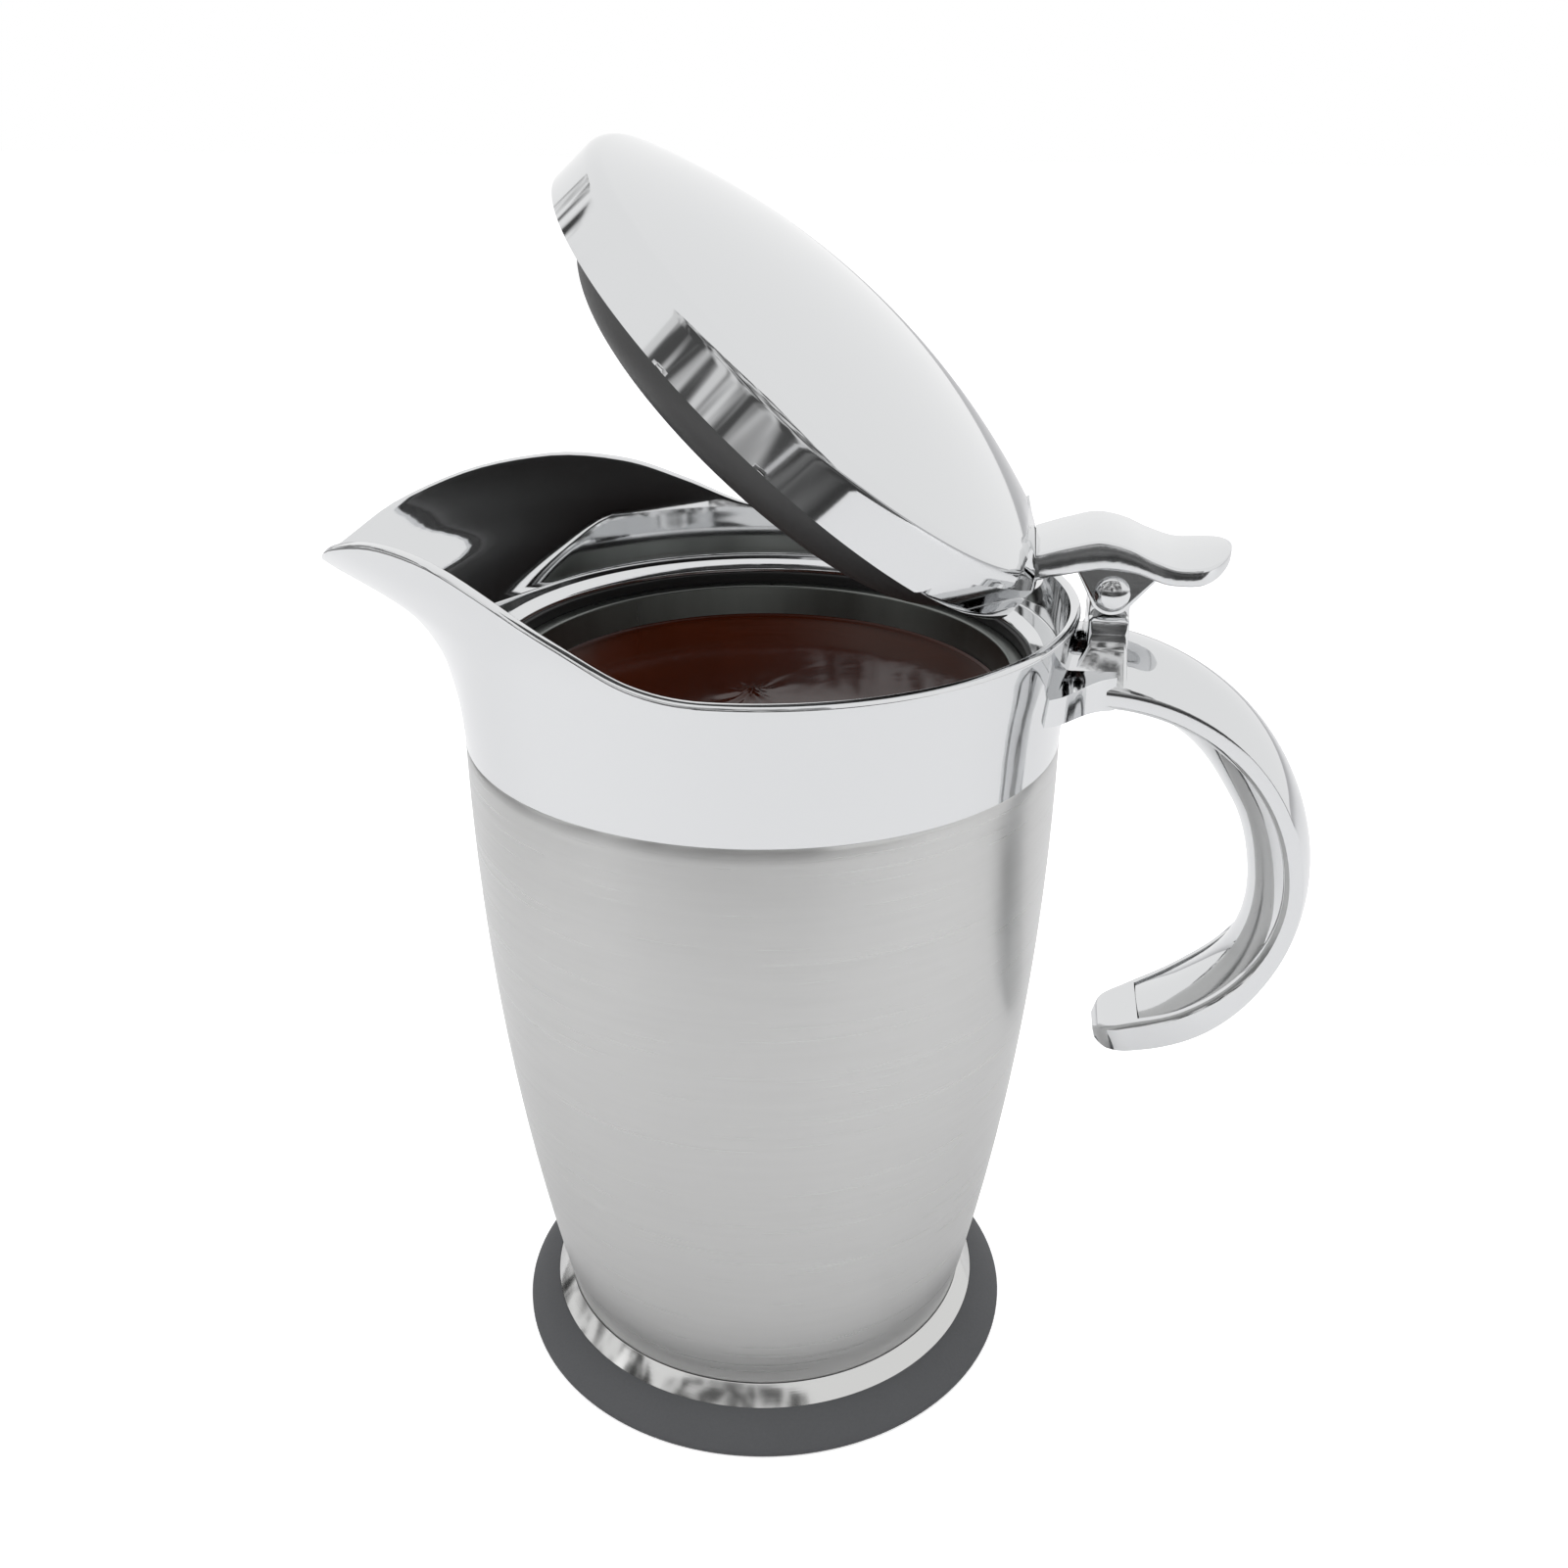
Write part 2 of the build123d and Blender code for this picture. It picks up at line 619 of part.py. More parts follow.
def lever_tongue(margin):
    """The lever's tongue, which reaches through the lid's rear wall."""
    low, high = tongue_z0 - margin, tongue_z1 + margin
    end_x = joint_low[0]
    return along([(tongue_x - margin, low), (end_x + margin, low),
                  (end_x + 0.1 + margin, joint_low[1] + 0.3), (end_x - 1.2, high),
                  (tongue_x - margin, high)], tongue_half_w + margin)


def make_thumb_lever():
    body = shut(lever_arm()) + lever_tongue(0)
    for side in (-1, 1):
        body -= disc(screw_r + seat_gap, tongue_z0 - 5, tongue_z1 + 5, lever_screw_x,
                     side * lever_screw_y)
    return body


def lid_outside(inset):
    """The lid's outer form, or the same form moved in by a wall's thickness."""
    cap_r, apex_z = lid_cap_r - inset, lid_apex_z - inset
    edge_r = lid_r - lid_draft - inset
    edge_z = apex_z - cap_r + (cap_r ** 2 - edge_r ** 2) ** 0.5
    mid_z = apex_z - cap_r + (cap_r ** 2 - (edge_r / 2) ** 2) ** 0.5
    low_z = lid_low_z - inset
    side = make_face(Wire([
        Line(rz(0, low_z), rz(lid_r - inset, low_z)),
        Line(rz(lid_r - inset, low_z), rz(edge_r, edge_z)),
        ThreePointArc(rz(edge_r, edge_z), rz(edge_r / 2, mid_z), rz(0, apex_z)),
        Line(rz(0, apex_z), rz(0, low_z)),
    ]))
    corner = side.vertices().sort_by_distance(rz(edge_r, edge_z))[0]
    return Pos(lid_x, 0, 0) * revolve(fillet(corner, lid_round - inset / 2), Axis.Z)


def below_sweep():
    """Everything under the sweep of the lid's rear, from the middle plane backwards."""
    near = [(0, -y, lid_low_z + h) for y, h in sweep]
    far = [(0, y, lid_low_z + h) for y, h in reversed(sweep)]
    left, right = Spline(*near), Spline(*far)
    face = make_face(Wire([left, Line(left @ 1, right @ 0), right, Line(right @ 1, left @ 0)]))
    return Pos(20, 0, 0) * extrude(face, amount=40, dir=(1, 0, 0))


def dome_z(x):
    return lid_apex_z - lid_cap_r + (lid_cap_r ** 2 - (x - lid_x) ** 2) ** 0.5


def slope_z(x):
    """Height of the slope that bends down from the dome to the lever's joint."""
    top_z = dome_z(rear_slope_x)
    fall = (joint_top[1] - top_z) / (joint_top[0] - seat_gap - rear_slope_x)
    return top_z + fall * (x - rear_slope_x)


def behind_rear_wall():
    return along([(rear_slope_x, slope_z(rear_slope_x)), (rear_x, slope_z(rear_x)),
                  (rear_x, shelf_z), (60, shelf_z), (60, 175), (rear_slope_x, 175)], 60)


def lever_room():
    """The lever's place behind the neck."""
    x0, x1, low_z = joint_top[0] - seat_gap, joint_low[0] - seat_gap, joint_low[1] - 0.5
    return along([(x0, joint_top[1]), (x1, low_z), (60, low_z), (60, 175), (x0, 175)],
                 lever_plan[0][1] + 0.4)


def make_lid_neck():
    """The neck that carries on the lever's line to the dome, wider at its root."""
    low_z = tongue_z1 + seat_gap
    plan = make_face(Polyline(*[(x, -w, low_z) for x, w in neck_plan],
                              *[(x, w, low_z) for x, w in reversed(neck_plan)], close=True))
    side = along([(neck_plan[0][0], low_z), (joint_low[0] - seat_gap, low_z),
                  (joint_top[0] - seat_gap, joint_top[1]),
                  (neck_plan[0][0], slope_z(neck_plan[0][0]))], 30)
    return extrude(plan, amount=10, dir=(0, 0, 1)) & side


def make_lid_shell():
    shell = lid_outside(0) - lid_outside(lid_t)
    shell -= below_sweep()
    wall = along([(rear_x - rear_t, shelf_z - recess_t), (rear_x, shelf_z - recess_t),
                  (rear_x, 170), (rear_x - rear_t, 170)], 40) & lid_outside(0)
    shelf = disc(recess_r, shelf_z - recess_t, shelf_z, lid_x) & along(
        [(rear_x - rear_t, 140), (60, 140), (60, 170), (rear_x - rear_t, 170)], 40)
    recess = disc(recess_r, lid_low_z + 0.3, shelf_z, lid_x) - disc(
        recess_r - recess_t, lid_low_z - 1, shelf_z + 1, lid_x)
    shell += (recess & below_sweep()) + shelf + wall
    shell -= behind_rear_wall()
    for side in (-1, 1):
        x, y = lever_screw_x, side * lever_screw_y
        boss = disc(boss_r, tongue_z1 + seat_gap, lid_apex_z, x, y) & lid_outside(lid_t / 2)
        shell += boss
    shell += make_lid_neck()
    shell -= lever_room()
    shell -= lever_tongue(seat_gap)
    for side in (-1, 1):
        shell -= disc(screw_r, tongue_z0, tongue_z1 + 1.6, lever_screw_x, side * lever_screw_y)
    return shell


def insert_cup(inset, top_z):
    """The insert's bowl below its flange, or its hollow, closed at the given height."""
    top, middle, foot = [rz(r - inset, lid_low_z - depth + inset) for r, depth in insert_side]
    top = (top[0], 0, top[2] - inset)
    return Pos(lid_x, 0, 0) * spun(
        Line(rz(0, top_z), rz(top[0], top_z)),
        Line(rz(top[0], top_z), top),
        ThreePointArc(top, middle, foot),
        Line(foot, rz(0, foot[2])),
        Line(rz(0, foot[2]), rz(0, top_z)),
    )


def make_lid_insert():
    low, top = lid_low_z + 0.2, lid_low_z + 0.2 + insert_flange_t
    flange = disc(insert_flange_r, low, top, lid_x)
    return insert_cup(0, low + 0.5) + flange - insert_cup(insert_t, top + 1)


def make_lid_insulation():
    return insert_cup(insert_t + insulation_gap, lid_low_z + 1.0)


def lever_screws():
    screws = []
    for side in (-1, 1):
        place = Pos(lever_screw_x, side * lever_screw_y, tongue_z0)
        screws.append(place * pan_screw(tongue_z1 - tongue_z0 + 1.2, screw_r - 0.05, screw_head_r))
    return screws


# ---- build ------------------------------------------------------------------------------

collar_outside = make_spout_outside()
collar_inside = make_spout_inside()
handle_outside = make_handle_outside()

save("non_slip_base", make_non_slip_base())
save("foot_band", make_foot_band())
save("outer_bottom", make_outer_bottom())
save("outer_wall", make_outer_wall())
save("inner_liner", make_inner_liner())
save("seam_gasket", make_seam_gasket())
save("liner_gasket", make_liner_gasket())
save("spout_collar", make_collar(collar_outside, collar_inside))
save("handle_shell", make_handle_shell(handle_outside, collar_outside))
save("handle_cover", make_handle_cover())
save("handle_screws", *handle_screws())
save("hinge_post", make_hinge_post(handle_outside, collar_outside))
save("hinge_pin", opened(make_hinge_pin()))
save("pin_cap", opened(make_pin_cap()))
save("hinge_washers", *hinge_washers())
save("thumb_lever", opened(make_thumb_lever()))
save("lever_screws", *[opened(s) for s in lever_screws()])
save("lid_shell", opened(make_lid_shell()))
save("lid_insert", opened(make_lid_insert()))
save("lid_insulation", opened(make_lid_insulation()))
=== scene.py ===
import bmesh
import bpy
from math import acos, cos, hypot, pi, radians, sin, sqrt
from mathutils import Matrix, Vector


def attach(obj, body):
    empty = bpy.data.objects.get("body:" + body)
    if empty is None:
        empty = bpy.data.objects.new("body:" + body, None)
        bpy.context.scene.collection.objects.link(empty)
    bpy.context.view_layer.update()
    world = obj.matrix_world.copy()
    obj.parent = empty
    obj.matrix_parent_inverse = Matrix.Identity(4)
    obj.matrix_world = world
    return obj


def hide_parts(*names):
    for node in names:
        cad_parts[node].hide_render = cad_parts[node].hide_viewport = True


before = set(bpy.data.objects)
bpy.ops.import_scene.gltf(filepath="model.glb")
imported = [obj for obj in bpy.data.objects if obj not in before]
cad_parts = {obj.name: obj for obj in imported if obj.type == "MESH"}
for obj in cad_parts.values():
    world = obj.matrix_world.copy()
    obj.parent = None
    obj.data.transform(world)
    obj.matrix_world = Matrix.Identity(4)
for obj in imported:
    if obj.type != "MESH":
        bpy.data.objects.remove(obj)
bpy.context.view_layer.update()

bl_info = {
    "name": "Syrup Jug",
    "version": (1, 0, 0),
    "blender": (4, 5, 0),
    "location": "View3D > Sidebar > Jug",
    "description": "Makes an insulated syrup jug with a thumb-lever lid, and a plain studio for it",
    "category": "Add Mesh",
}

# ---- sizes in millimetres, the same ones as the solids have --------------------------------

SEAM_Z, RIM_Z, SEAT_Z = 131.7, 156.0, 146.8
SEAT_IN_R, LEDGE_IN_R, LEDGE_IN_Z, LEDGE_UNDER_Z = 50.2, 48.2, 145.4, 144.7
SKIRT_IN_R, COLLAR_T, FLOOR_RISE = 52.1, 1.8, 1.2
# height, radius of the round part, reach of the nose, radius of the nose
SPOUT = ((131.7, 54.0, 54.4, 34.0), (138.5, 54.4, 57.4, 22.0), (146.0, 55.0, 61.2, 13.0),
         (153.0, 55.7, 68.6, 10.0), (159.0, 56.6, 80.2, 9.5), (165.0, 58.8, 87.0, 11.5),
         (172.0, 61.4, 89.5, 13.0))
RIM_WAVE = ((-100.0, 157.2), (-86.0, 157.2), (-73.0, 165.3), (-62.0, 169.3), (-50.0, 170.4),
            (-36.0, 167.8), (-24.0, 162.8), (-12.0, 157.6), (0.0, RIM_Z), (14.0, RIM_Z),
            (90.0, RIM_Z))
BODY_FOOT_R, BODY_END_R, BAND_TOP_Z, SEAM_R, BELLY = 41.3, 40.6, 9.8, 54.0, 3.4
NECK_R, NECK_TOP_Z, STEEL_T = 49.2, 142.0, 0.7
LINER_R, LINER_T, LINER_FOOT_R, LINER_FLOOR_Z, LINER_LIP_R = 44.7, 0.6, 37.0, 14.0, 47.4
BASE_R, BASE_TOP_Z, BAND_R = 50.4, 6.4, 44.15
HANDLE_X, HANDLE_Z = 56.5, 105.0
# angle, half width, inner radius, radius of the side's edge, radius of the crown, swell
HANDLE = ((-76.4, 3.0, 34.0, 36.2, 37.0, 0.0), (-74.0, 5.4, 32.8, 36.9, 38.5, 0.0),
          (-70.0, 7.0, 32.2, 37.5, 39.5, 0.0), (-64.0, 7.9, 32.2, 38.0, 40.4, 0.3),
          (-46.0, 10.1, 33.8, 39.4, 42.6, 1.2), (-22.0, 10.4, 37.0, 41.0, 43.5, 2.8),
          (4.0, 10.6, 38.6, 41.8, 44.2, 5.2), (30.0, 10.8, 38.4, 41.6, 44.7, 5.4),
          (56.0, 11.1, 37.6, 41.0, 45.7, 3.2), (82.0, 11.5, 36.4, 39.9, 47.0, 0.5),
          (108.0, 11.8, 34.8, 38.9, 48.2, 0.0))
# the root's foot: place and half width, half width and height of its top, height of its foot
FLARE = ((50.4, 20.8), (53.1, 19.0), (55.3, 16.4), (57.5, 13.8), (59.6, 12.1), (62.4, 11.0))
FLARE_TOP = ((0.0, 149.0), (6.0, 149.0), (11.5, 146.8), (21.5, 145.8))
FLARE_LOW_Z = 141.0
PAD_RIM, PAD_STEP, PAD_FROM, PAD_TO = 2.0, 0.35, 77.8, -59.8
PIN_X, PIN_Z, PIN_R, PIN_HEAD_R = 60.5, 160.9, 1.75, 3.0
KNUCKLE_R, KNUCKLE_HALF_W, EAR_IN_Y, EAR_T = 3.4, 5.2, 5.8, 2.2
POST_X0, POST_X1, POST_HALF_W, POST_TOP_Z, POST_FOOT_Z = 57.1, 63.9, 8.0, 156.4, 151.2
LID_OPEN = 42.0
LEVER_TOP = ((47.4, 167.4), (53.2, 169.2), (57.9, 170.2), (62.4, 169.4), (67.1, 167.4),
             (72.0, 166.2), (76.4, 166.7), (80.2, 168.0))
LEVER_UNDER = ((47.4, 162.7), (53.0, 164.2), (59.6, 165.5), (64.2, 165.0), (69.0, 163.4),
               (73.0, 163.1), (76.8, 164.0), (80.2, 166.2))
LEVER_HALF_W = ((47.4, 9.6), (58.0, 10.2), (68.0, 11.0), (73.8, 10.5))
PADDLE_X, LEVER_END_X = 73.8, 80.0
LID_X, LID_R, LID_LOW_Z, LID_APEX_Z, LID_CAP_R, LID_DRAFT, LID_T = 0.5, 51.95, 147.1, 166.0, 134.4, 0.9, 2.0
SWEEP = ((0.0, 6.8), (26.0, 6.8), (30.0, 6.5), (33.8, 5.9), (37.3, 4.7), (40.2, 2.6),
         (41.3, 0.6), (41.6, 0.0), (60.0, 0.0))
RECESS_R, REAR_X, SLOPE_X, REAR_ROUND = 51.1, 44.2, 41.6, 1.0
SHELF_Z = LID_LOW_Z + SWEEP[0][1]
JOINT_TOP, JOINT_LOW = (46.32, 156.96), (49.75, 154.02)
INSERT_FLANGE_R, INSERT_FLANGE_T, INSERT_T = 49.3, 1.6, 1.8
INSERT_SIDE = ((45.3, 0.6), (42.9, 5.6), (37.0, 9.0))


# ---- values that a user would change --------------------------------------------------------

def linear(hex_colour):
    """An sRGB hex colour as the linear values that shaders read."""
    parts = [int(hex_colour[i:i + 2], 16) / 255 for i in (1, 3, 5)]
    return [c / 12.92 if c <= 0.04045 else ((c + 0.055) / 1.055) ** 2.4 for c in parts]


def colour(name, description, hex_colour):
    return bpy.props.FloatVectorProperty(
        name=name, description=description, subtype="COLOR", size=3, min=0, max=1,
        default=linear(hex_colour))


def length(name, description, millimetres):
    return bpy.props.FloatProperty(
        name=name, description=description, unit="LENGTH", min=0, default=millimetres / 1000)


class JugSizes(bpy.types.PropertyGroup):
    rim_round: length("Rim rounding", "How much the collar's lip is rounded", 0.8)
    lid_round: length("Lid rounding", "Radius between the lid's skirt and its dome", 3.0)
    handle_round: length("Handle edge", "Rounding of the handle's long edges", 0.45)
    lever_round: length("Lever edge", "Rounding of the lever's upper edges", 0.6)
    syrup_level: length("Syrup level", "Height of the syrup above the ground", 136.2)
    brush_spacing: length("Brushing", "Spacing of the brush lines, drawn coarse to show", 0.5)


class JugColours(bpy.types.PropertyGroup):
    chrome: colour("Chrome", "Bright chrome plating", "#DADBDC")
    brushed: colour("Brushed steel", "Brushed stainless steel of the body", "#C8C8C7")
    steel: colour("Steel", "Polished stainless steel", "#CFCFCE")
    liner: colour("Liner", "Satin steel inside the vessel", "#7E817E")
    rubber: colour("Base rubber", "Dark grey non-slip base", "#4B4C4E")
    gasket: colour("Gasket", "Black silicone rings", "#0E0E0E")
    insert: colour("Insert", "Dark grey plastic under the lid", "#3C3C3C")
    syrup: colour("Syrup", "Dark brown syrup", "#3E1709")


# ---- materials ------------------------------------------------------------------------------

def add(tree, kind, inputs=None, **settings):
    """Adds a node, with its settings and with values or links for its inputs."""
    node = tree.nodes.new("ShaderNode" + kind)
    for name, value in settings.items():
        setattr(node, name, value)
    for socket, value in (inputs or {}).items():
        if isinstance(value, bpy.types.NodeSocket):
            tree.links.new(value, node.inputs[socket])
        else:
            node.inputs[socket].default_value = value
    return node


def blank(name):
    """A new material with an empty tree."""
    material = bpy.data.materials.new(name)
    material.use_nodes = True
    material.node_tree.nodes.clear()
    return material, material.node_tree


def stretched(tree, scale):
    """Object coordinates in pattern cells: scale gives cells per metre along X, Y and Z."""
    place = add(tree, "TexCoord").outputs["Object"]
    return add(tree, "Mapping", {"Vector": place, "Scale": scale}).outputs["Vector"]


def output(tree, shader):
    add(tree, "OutputMaterial", {"Surface": shader.outputs[0]})


def chrome_over_plastic(base):
    """Bright chrome on moulded ABS: a mirror whose moulded surface waves a little, so that
    reflections swim, with hardly any haze."""
    material, tree = blank("chrome_over_moulded_abs")
    wave = add(tree, "TexNoise", {"Vector": stretched(tree, (26, 26, 26)), "Scale": 1.0,
                                  "Detail": 1.0})
    bump = add(tree, "Bump", {"Height": wave.outputs["Fac"], "Strength": 0.35,
                              "Distance": 0.0006})
    haze = add(tree, "TexNoise", {"Vector": stretched(tree, (90, 90, 90)), "Scale": 1.0,
                                  "Detail": 4.0})
    rough = add(tree, "MapRange", {"Value": haze.outputs["Fac"], "To Min": 0.035,
                                   "To Max": 0.075})
    output(tree, add(tree, "BsdfPrincipled", {
        "Base Color": (*base, 1), "Metallic": 1.0, "Roughness": rough.outputs[0],
        "Normal": bump.outputs[0]}))
    return material


def chrome_over_zinc(base):
    """Bright chrome on die-cast zinc: flatter than the moulded pieces, with a faint orange
    peel from polishing."""
    material, tree = blank("chrome_over_cast_zinc")
    peel = add(tree, "TexNoise", {"Vector": stretched(tree, (420, 420, 420)), "Scale": 1.0,
                                  "Detail": 2.0})
    bump = add(tree, "Bump", {"Height": peel.outputs["Fac"], "Strength": 0.3,
                              "Distance": 0.00006})
    rough = add(tree, "MapRange", {"Value": peel.outputs["Fac"], "To Min": 0.06,
                                   "To Max": 0.12})
    output(tree, add(tree, "BsdfPrincipled", {
        "Base Color": (*base, 1), "Metallic": 1.0, "Roughness": rough.outputs[0],
        "Normal": bump.outputs[0]}))
    return material


def brushed_steel(base, spacing):
    """Stainless steel brushed round the body: fine level lines that draw every highlight out
    into a soft upright band. Real lines are 0.05 mm apart and would not show."""
    material, tree = blank("stainless_steel_brushed_round")
    lines = add(tree, "TexNoise", {"Vector": stretched(tree, (18, 18, 1 / spacing)),
                                   "Scale": 1.0, "Detail": 3.0, "Roughness": 0.6})
    wide = add(tree, "TexNoise", {"Vector": stretched(tree, (60, 60, 700)), "Scale": 1.0,
                                  "Detail": 2.0})
    bump = add(tree, "Bump", {"Height": lines.outputs["Fac"], "Strength": 0.5,
                              "Distance": 0.00005})
    rough = add(tree, "MapRange", {"Value": lines.outputs["Fac"], "To Min": 0.22,
                                   "To Max": 0.38})
    tone = add(tree, "MapRange", {"Value": wide.outputs["Fac"], "To Min": 0.97, "To Max": 1.02})
    tint = add(tree, "VectorMath", {0: tuple(base), "Scale": tone.outputs[0]},
               operation="SCALE")
    output(tree, add(tree, "BsdfPrincipled", {
        "Base Color": tint.outputs[0], "Metallic": 1.0, "Roughness": rough.outputs[0],
        "Anisotropic": 0.75, "Anisotropic Rotation": 0.25, "Normal": bump.outputs[0],
        "Tangent": add(tree, "Tangent", direction_type="RADIAL", axis="Z").outputs[0]}))
    return material


def satin_steel(base):
    """Drawn steel with a satin inside: an even grey that blurs what it mirrors, with faint
    drawing marks down the wall."""
    material, tree = blank("stainless_steel_satin_drawn")
    marks = add(tree, "TexNoise", {"Vector": stretched(tree, (300, 300, 14)), "Scale": 1.0,
                                   "Detail": 2.0})
    rough = add(tree, "MapRange", {"Value": marks.outputs["Fac"], "To Min": 0.24,
                                   "To Max": 0.36})
    tone = add(tree, "MapRange", {"Value": marks.outputs["Fac"], "To Min": 0.9, "To Max": 1.05})
    tint = add(tree, "VectorMath", {0: tuple(base), "Scale": tone.outputs[0]},
               operation="SCALE")
    output(tree, add(tree, "BsdfPrincipled", {
        "Base Color": tint.outputs[0], "Metallic": 1.0, "Roughness": rough.outputs[0]}))
    return material


def polished_steel(base):
    """Mirror-polished steel with the hairlines that cloths leave."""
    material, tree = blank("stainless_steel_mirror_polished")
    hair = add(tree, "TexNoise", {"Vector": stretched(tree, (60, 60, 900)), "Scale": 1.0,
                                  "Detail": 3.0})
    bump = add(tree, "Bump", {"Height": hair.outputs["Fac"], "Strength": 0.25,
                              "Distance": 0.00002})
    rough = add(tree, "MapRange", {"Value": hair.outputs["Fac"], "To Min": 0.06,
                                   "To Max": 0.13})
    output(tree, add(tree, "BsdfPrincipled", {
        "Base Color": (*base, 1), "Metallic": 1.0, "Roughness": rough.outputs[0],
        "Normal": bump.outputs[0]}))
    return material


def moulded(name, base, grain_mm, rough_low, rough_high, depth_mm, spread):
    """A moulded polymer: fine spark-eroded grain, slightly uneven colour, a wide soft sheen."""
    material, tree = blank(name)
    cells = 1000 / grain_mm
    grain = add(tree, "TexNoise", {"Vector": stretched(tree, (cells, cells, cells)),
                                   "Scale": 1.0, "Detail": 2.0})
    cloud = add(tree, "TexNoise", {"Vector": stretched(tree, (70, 70, 70)), "Scale": 1.0,
                                   "Detail": 3.0})
    bump = add(tree, "Bump", {"Height": grain.outputs["Fac"], "Strength": 0.5,
                              "Distance": depth_mm / 1000})
    rough = add(tree, "MapRange", {"Value": grain.outputs["Fac"], "To Min": rough_low,
                                   "To Max": rough_high})
    tone = add(tree, "MapRange", {"Value": cloud.outputs["Fac"], "To Min": 1 - spread,
                                  "To Max": 1 + spread})
    tint = add(tree, "VectorMath", {0: tuple(base), "Scale": tone.outputs[0]},
               operation="SCALE")
    output(tree, add(tree, "BsdfPrincipled", {
        "Base Color": tint.outputs[0], "Roughness": rough.outputs[0], "IOR": 1.5,
        "Normal": bump.outputs[0]}))
    return material


def thick_syrup(base):
    """Cooked sugar syrup: nearly opaque, with a wet mirror-smooth skin and slow swirls in its tone and
    surface. It has no red-brown where it thins at the wall, as real syrup does."""
    material, tree = blank("thick_sugar_syrup")
    swirl = add(tree, "TexNoise", {"Vector": stretched(tree, (34, 34, 34)), "Scale": 1.0,
                                   "Detail": 2.0, "Distortion": 2.2})
    bump = add(tree, "Bump", {"Height": swirl.outputs["Fac"], "Strength": 0.2,
                              "Distance": 0.0008})
    tone = add(tree, "MapRange", {"Value": swirl.outputs["Fac"], "To Min": 0.75,
                                  "To Max": 1.3})
    tint = add(tree, "VectorMath", {0: tuple(base), "Scale": tone.outputs[0]},
               operation="SCALE")
    output(tree, add(tree, "BsdfPrincipled", {
        "Base Color": tint.outputs[0], "Roughness": 0.12, "IOR": 1.38,
        "Specular IOR Level": 0.3, "Normal": bump.outputs[0]}))
    return material


made_materials = {}


def material_of(key):
    """Makes each material once, from the colours in the panel."""
    if key not in made_materials:
        tones, sizes = bpy.context.scene.jug_colours, bpy.context.scene.jug_sizes
        make = {
            "chrome": lambda: chrome_over_plastic(tones.chrome),
            "cast": lambda: chrome_over_zinc(tones.chrome),
            "brushed": lambda: brushed_steel(tones.brushed, sizes.brush_spacing),
            "satin": lambda: satin_steel(tones.liner),
            "polished": lambda: polished_steel(tones.steel),
            "rubber": lambda: moulded("moulded_grey_rubber", tones.rubber, 0.5, 0.62, 0.82,
                                      0.05, 0.06),
            "gasket": lambda: moulded("black_silicone_rubber", tones.gasket, 0.4, 0.4, 0.55,
                                      0.02, 0.05),
            "insert": lambda: moulded("moulded_dark_polypropylene", tones.insert, 0.6, 0.38,
                                      0.52, 0.02, 0.05),
            "foam": lambda: moulded("white_foam_board", linear("#DDDCD4"), 0.8, 0.85, 0.95,
                                    0.1, 0.04),
            "nylon": lambda: moulded("natural_nylon", linear("#DCDAD0"), 0.3, 0.35, 0.5,
                                     0.01, 0.03),
            "syrup": lambda: thick_syrup(tones.syrup),
        }[key]
        made_materials[key] = make()
    return made_materials[key]


# ---- shapes ---------------------------------------------------------------------------------

def between(rows, key):
    """The values at a key, on a smooth curve through rows that are listed by rising key."""
    keys = [row[0] for row in rows]
    last = len(rows) - 1
    i = min(max(sum(k <= key for k in keys) - 1, 0), last - 1)

    def slope(j, column):
        steps = []
        for a in (j - 1, j):
            if 0 <= a < last:
                gap = keys[a + 1] - keys[a]
                steps.append(((rows[a + 1][column] - rows[a][column]) / gap, gap))
        if len(steps) == 1:
            return steps[0][0]
        (s0, g0), (s1, g1) = steps
        return 0.0 if s0 * s1 <= 0 else (s0 * g1 + s1 * g0) / (g0 + g1)

    gap = keys[i + 1] - keys[i]
    t = min(max((key - keys[i]) / gap, 0.0), 1.0)
    values = []
    for column in range(1, len(rows[0])):
        a, b = rows[i][column], rows[i + 1][column]
        values.append(
            (2 * t ** 3 - 3 * t ** 2 + 1) * a + (t ** 3 - 2 * t ** 2 + t) * gap * slope(i, column)
            + (3 * t ** 2 - 2 * t ** 3) * b + (t ** 3 - t ** 2) * gap * slope(i + 1, column))
    return values


def marked():
    """An empty bmesh whose vertices remember their ring and their line."""
    bm = bmesh.new()
    bm.verts.layers.int.new("ring")
    bm.verts.layers.int.new("line")
    return bm


def soften(bm, layer, index, width, segments=4):
    """Rounds the edges that run along one ring or one line."""
    mark = bm.verts.layers.int[layer]
    edges = [e for e in bm.edges if e.verts[0][mark] == index and e.verts[1][mark] == index]
    bmesh.ops.bevel(bm, geom=edges, offset=width, offset_type="OFFSET", segments=segments,
                    profile=0.5, affect="EDGES", material=-1, clamp_overlap=True)


def spin_up(outline, closed=True, steps=224):
    """Turns an outline of radius and height about the vertical axis."""
    bm = marked()
    ring = bm.verts.layers.int["ring"]
    verts = []
    for i, (r, z) in enumerate(outline):
        v = bm.verts.new((r, 0, z))
        v[ring] = i + 1
        verts.append(v)
    pairs = list(zip(verts, verts[1:])) + ([(verts[-1], verts[0])] if closed else [])
    edges = [bm.edges.new(pair) for pair in pairs]
    bmesh.ops.spin(bm, geom=verts + edges, cent=(0, 0, 0), axis=(0, 0, 1), angle=2 * pi,
                   steps=steps, use_merge=True)
    bmesh.ops.remove_doubles(bm, verts=bm.verts, dist=0.0005)
    return bm


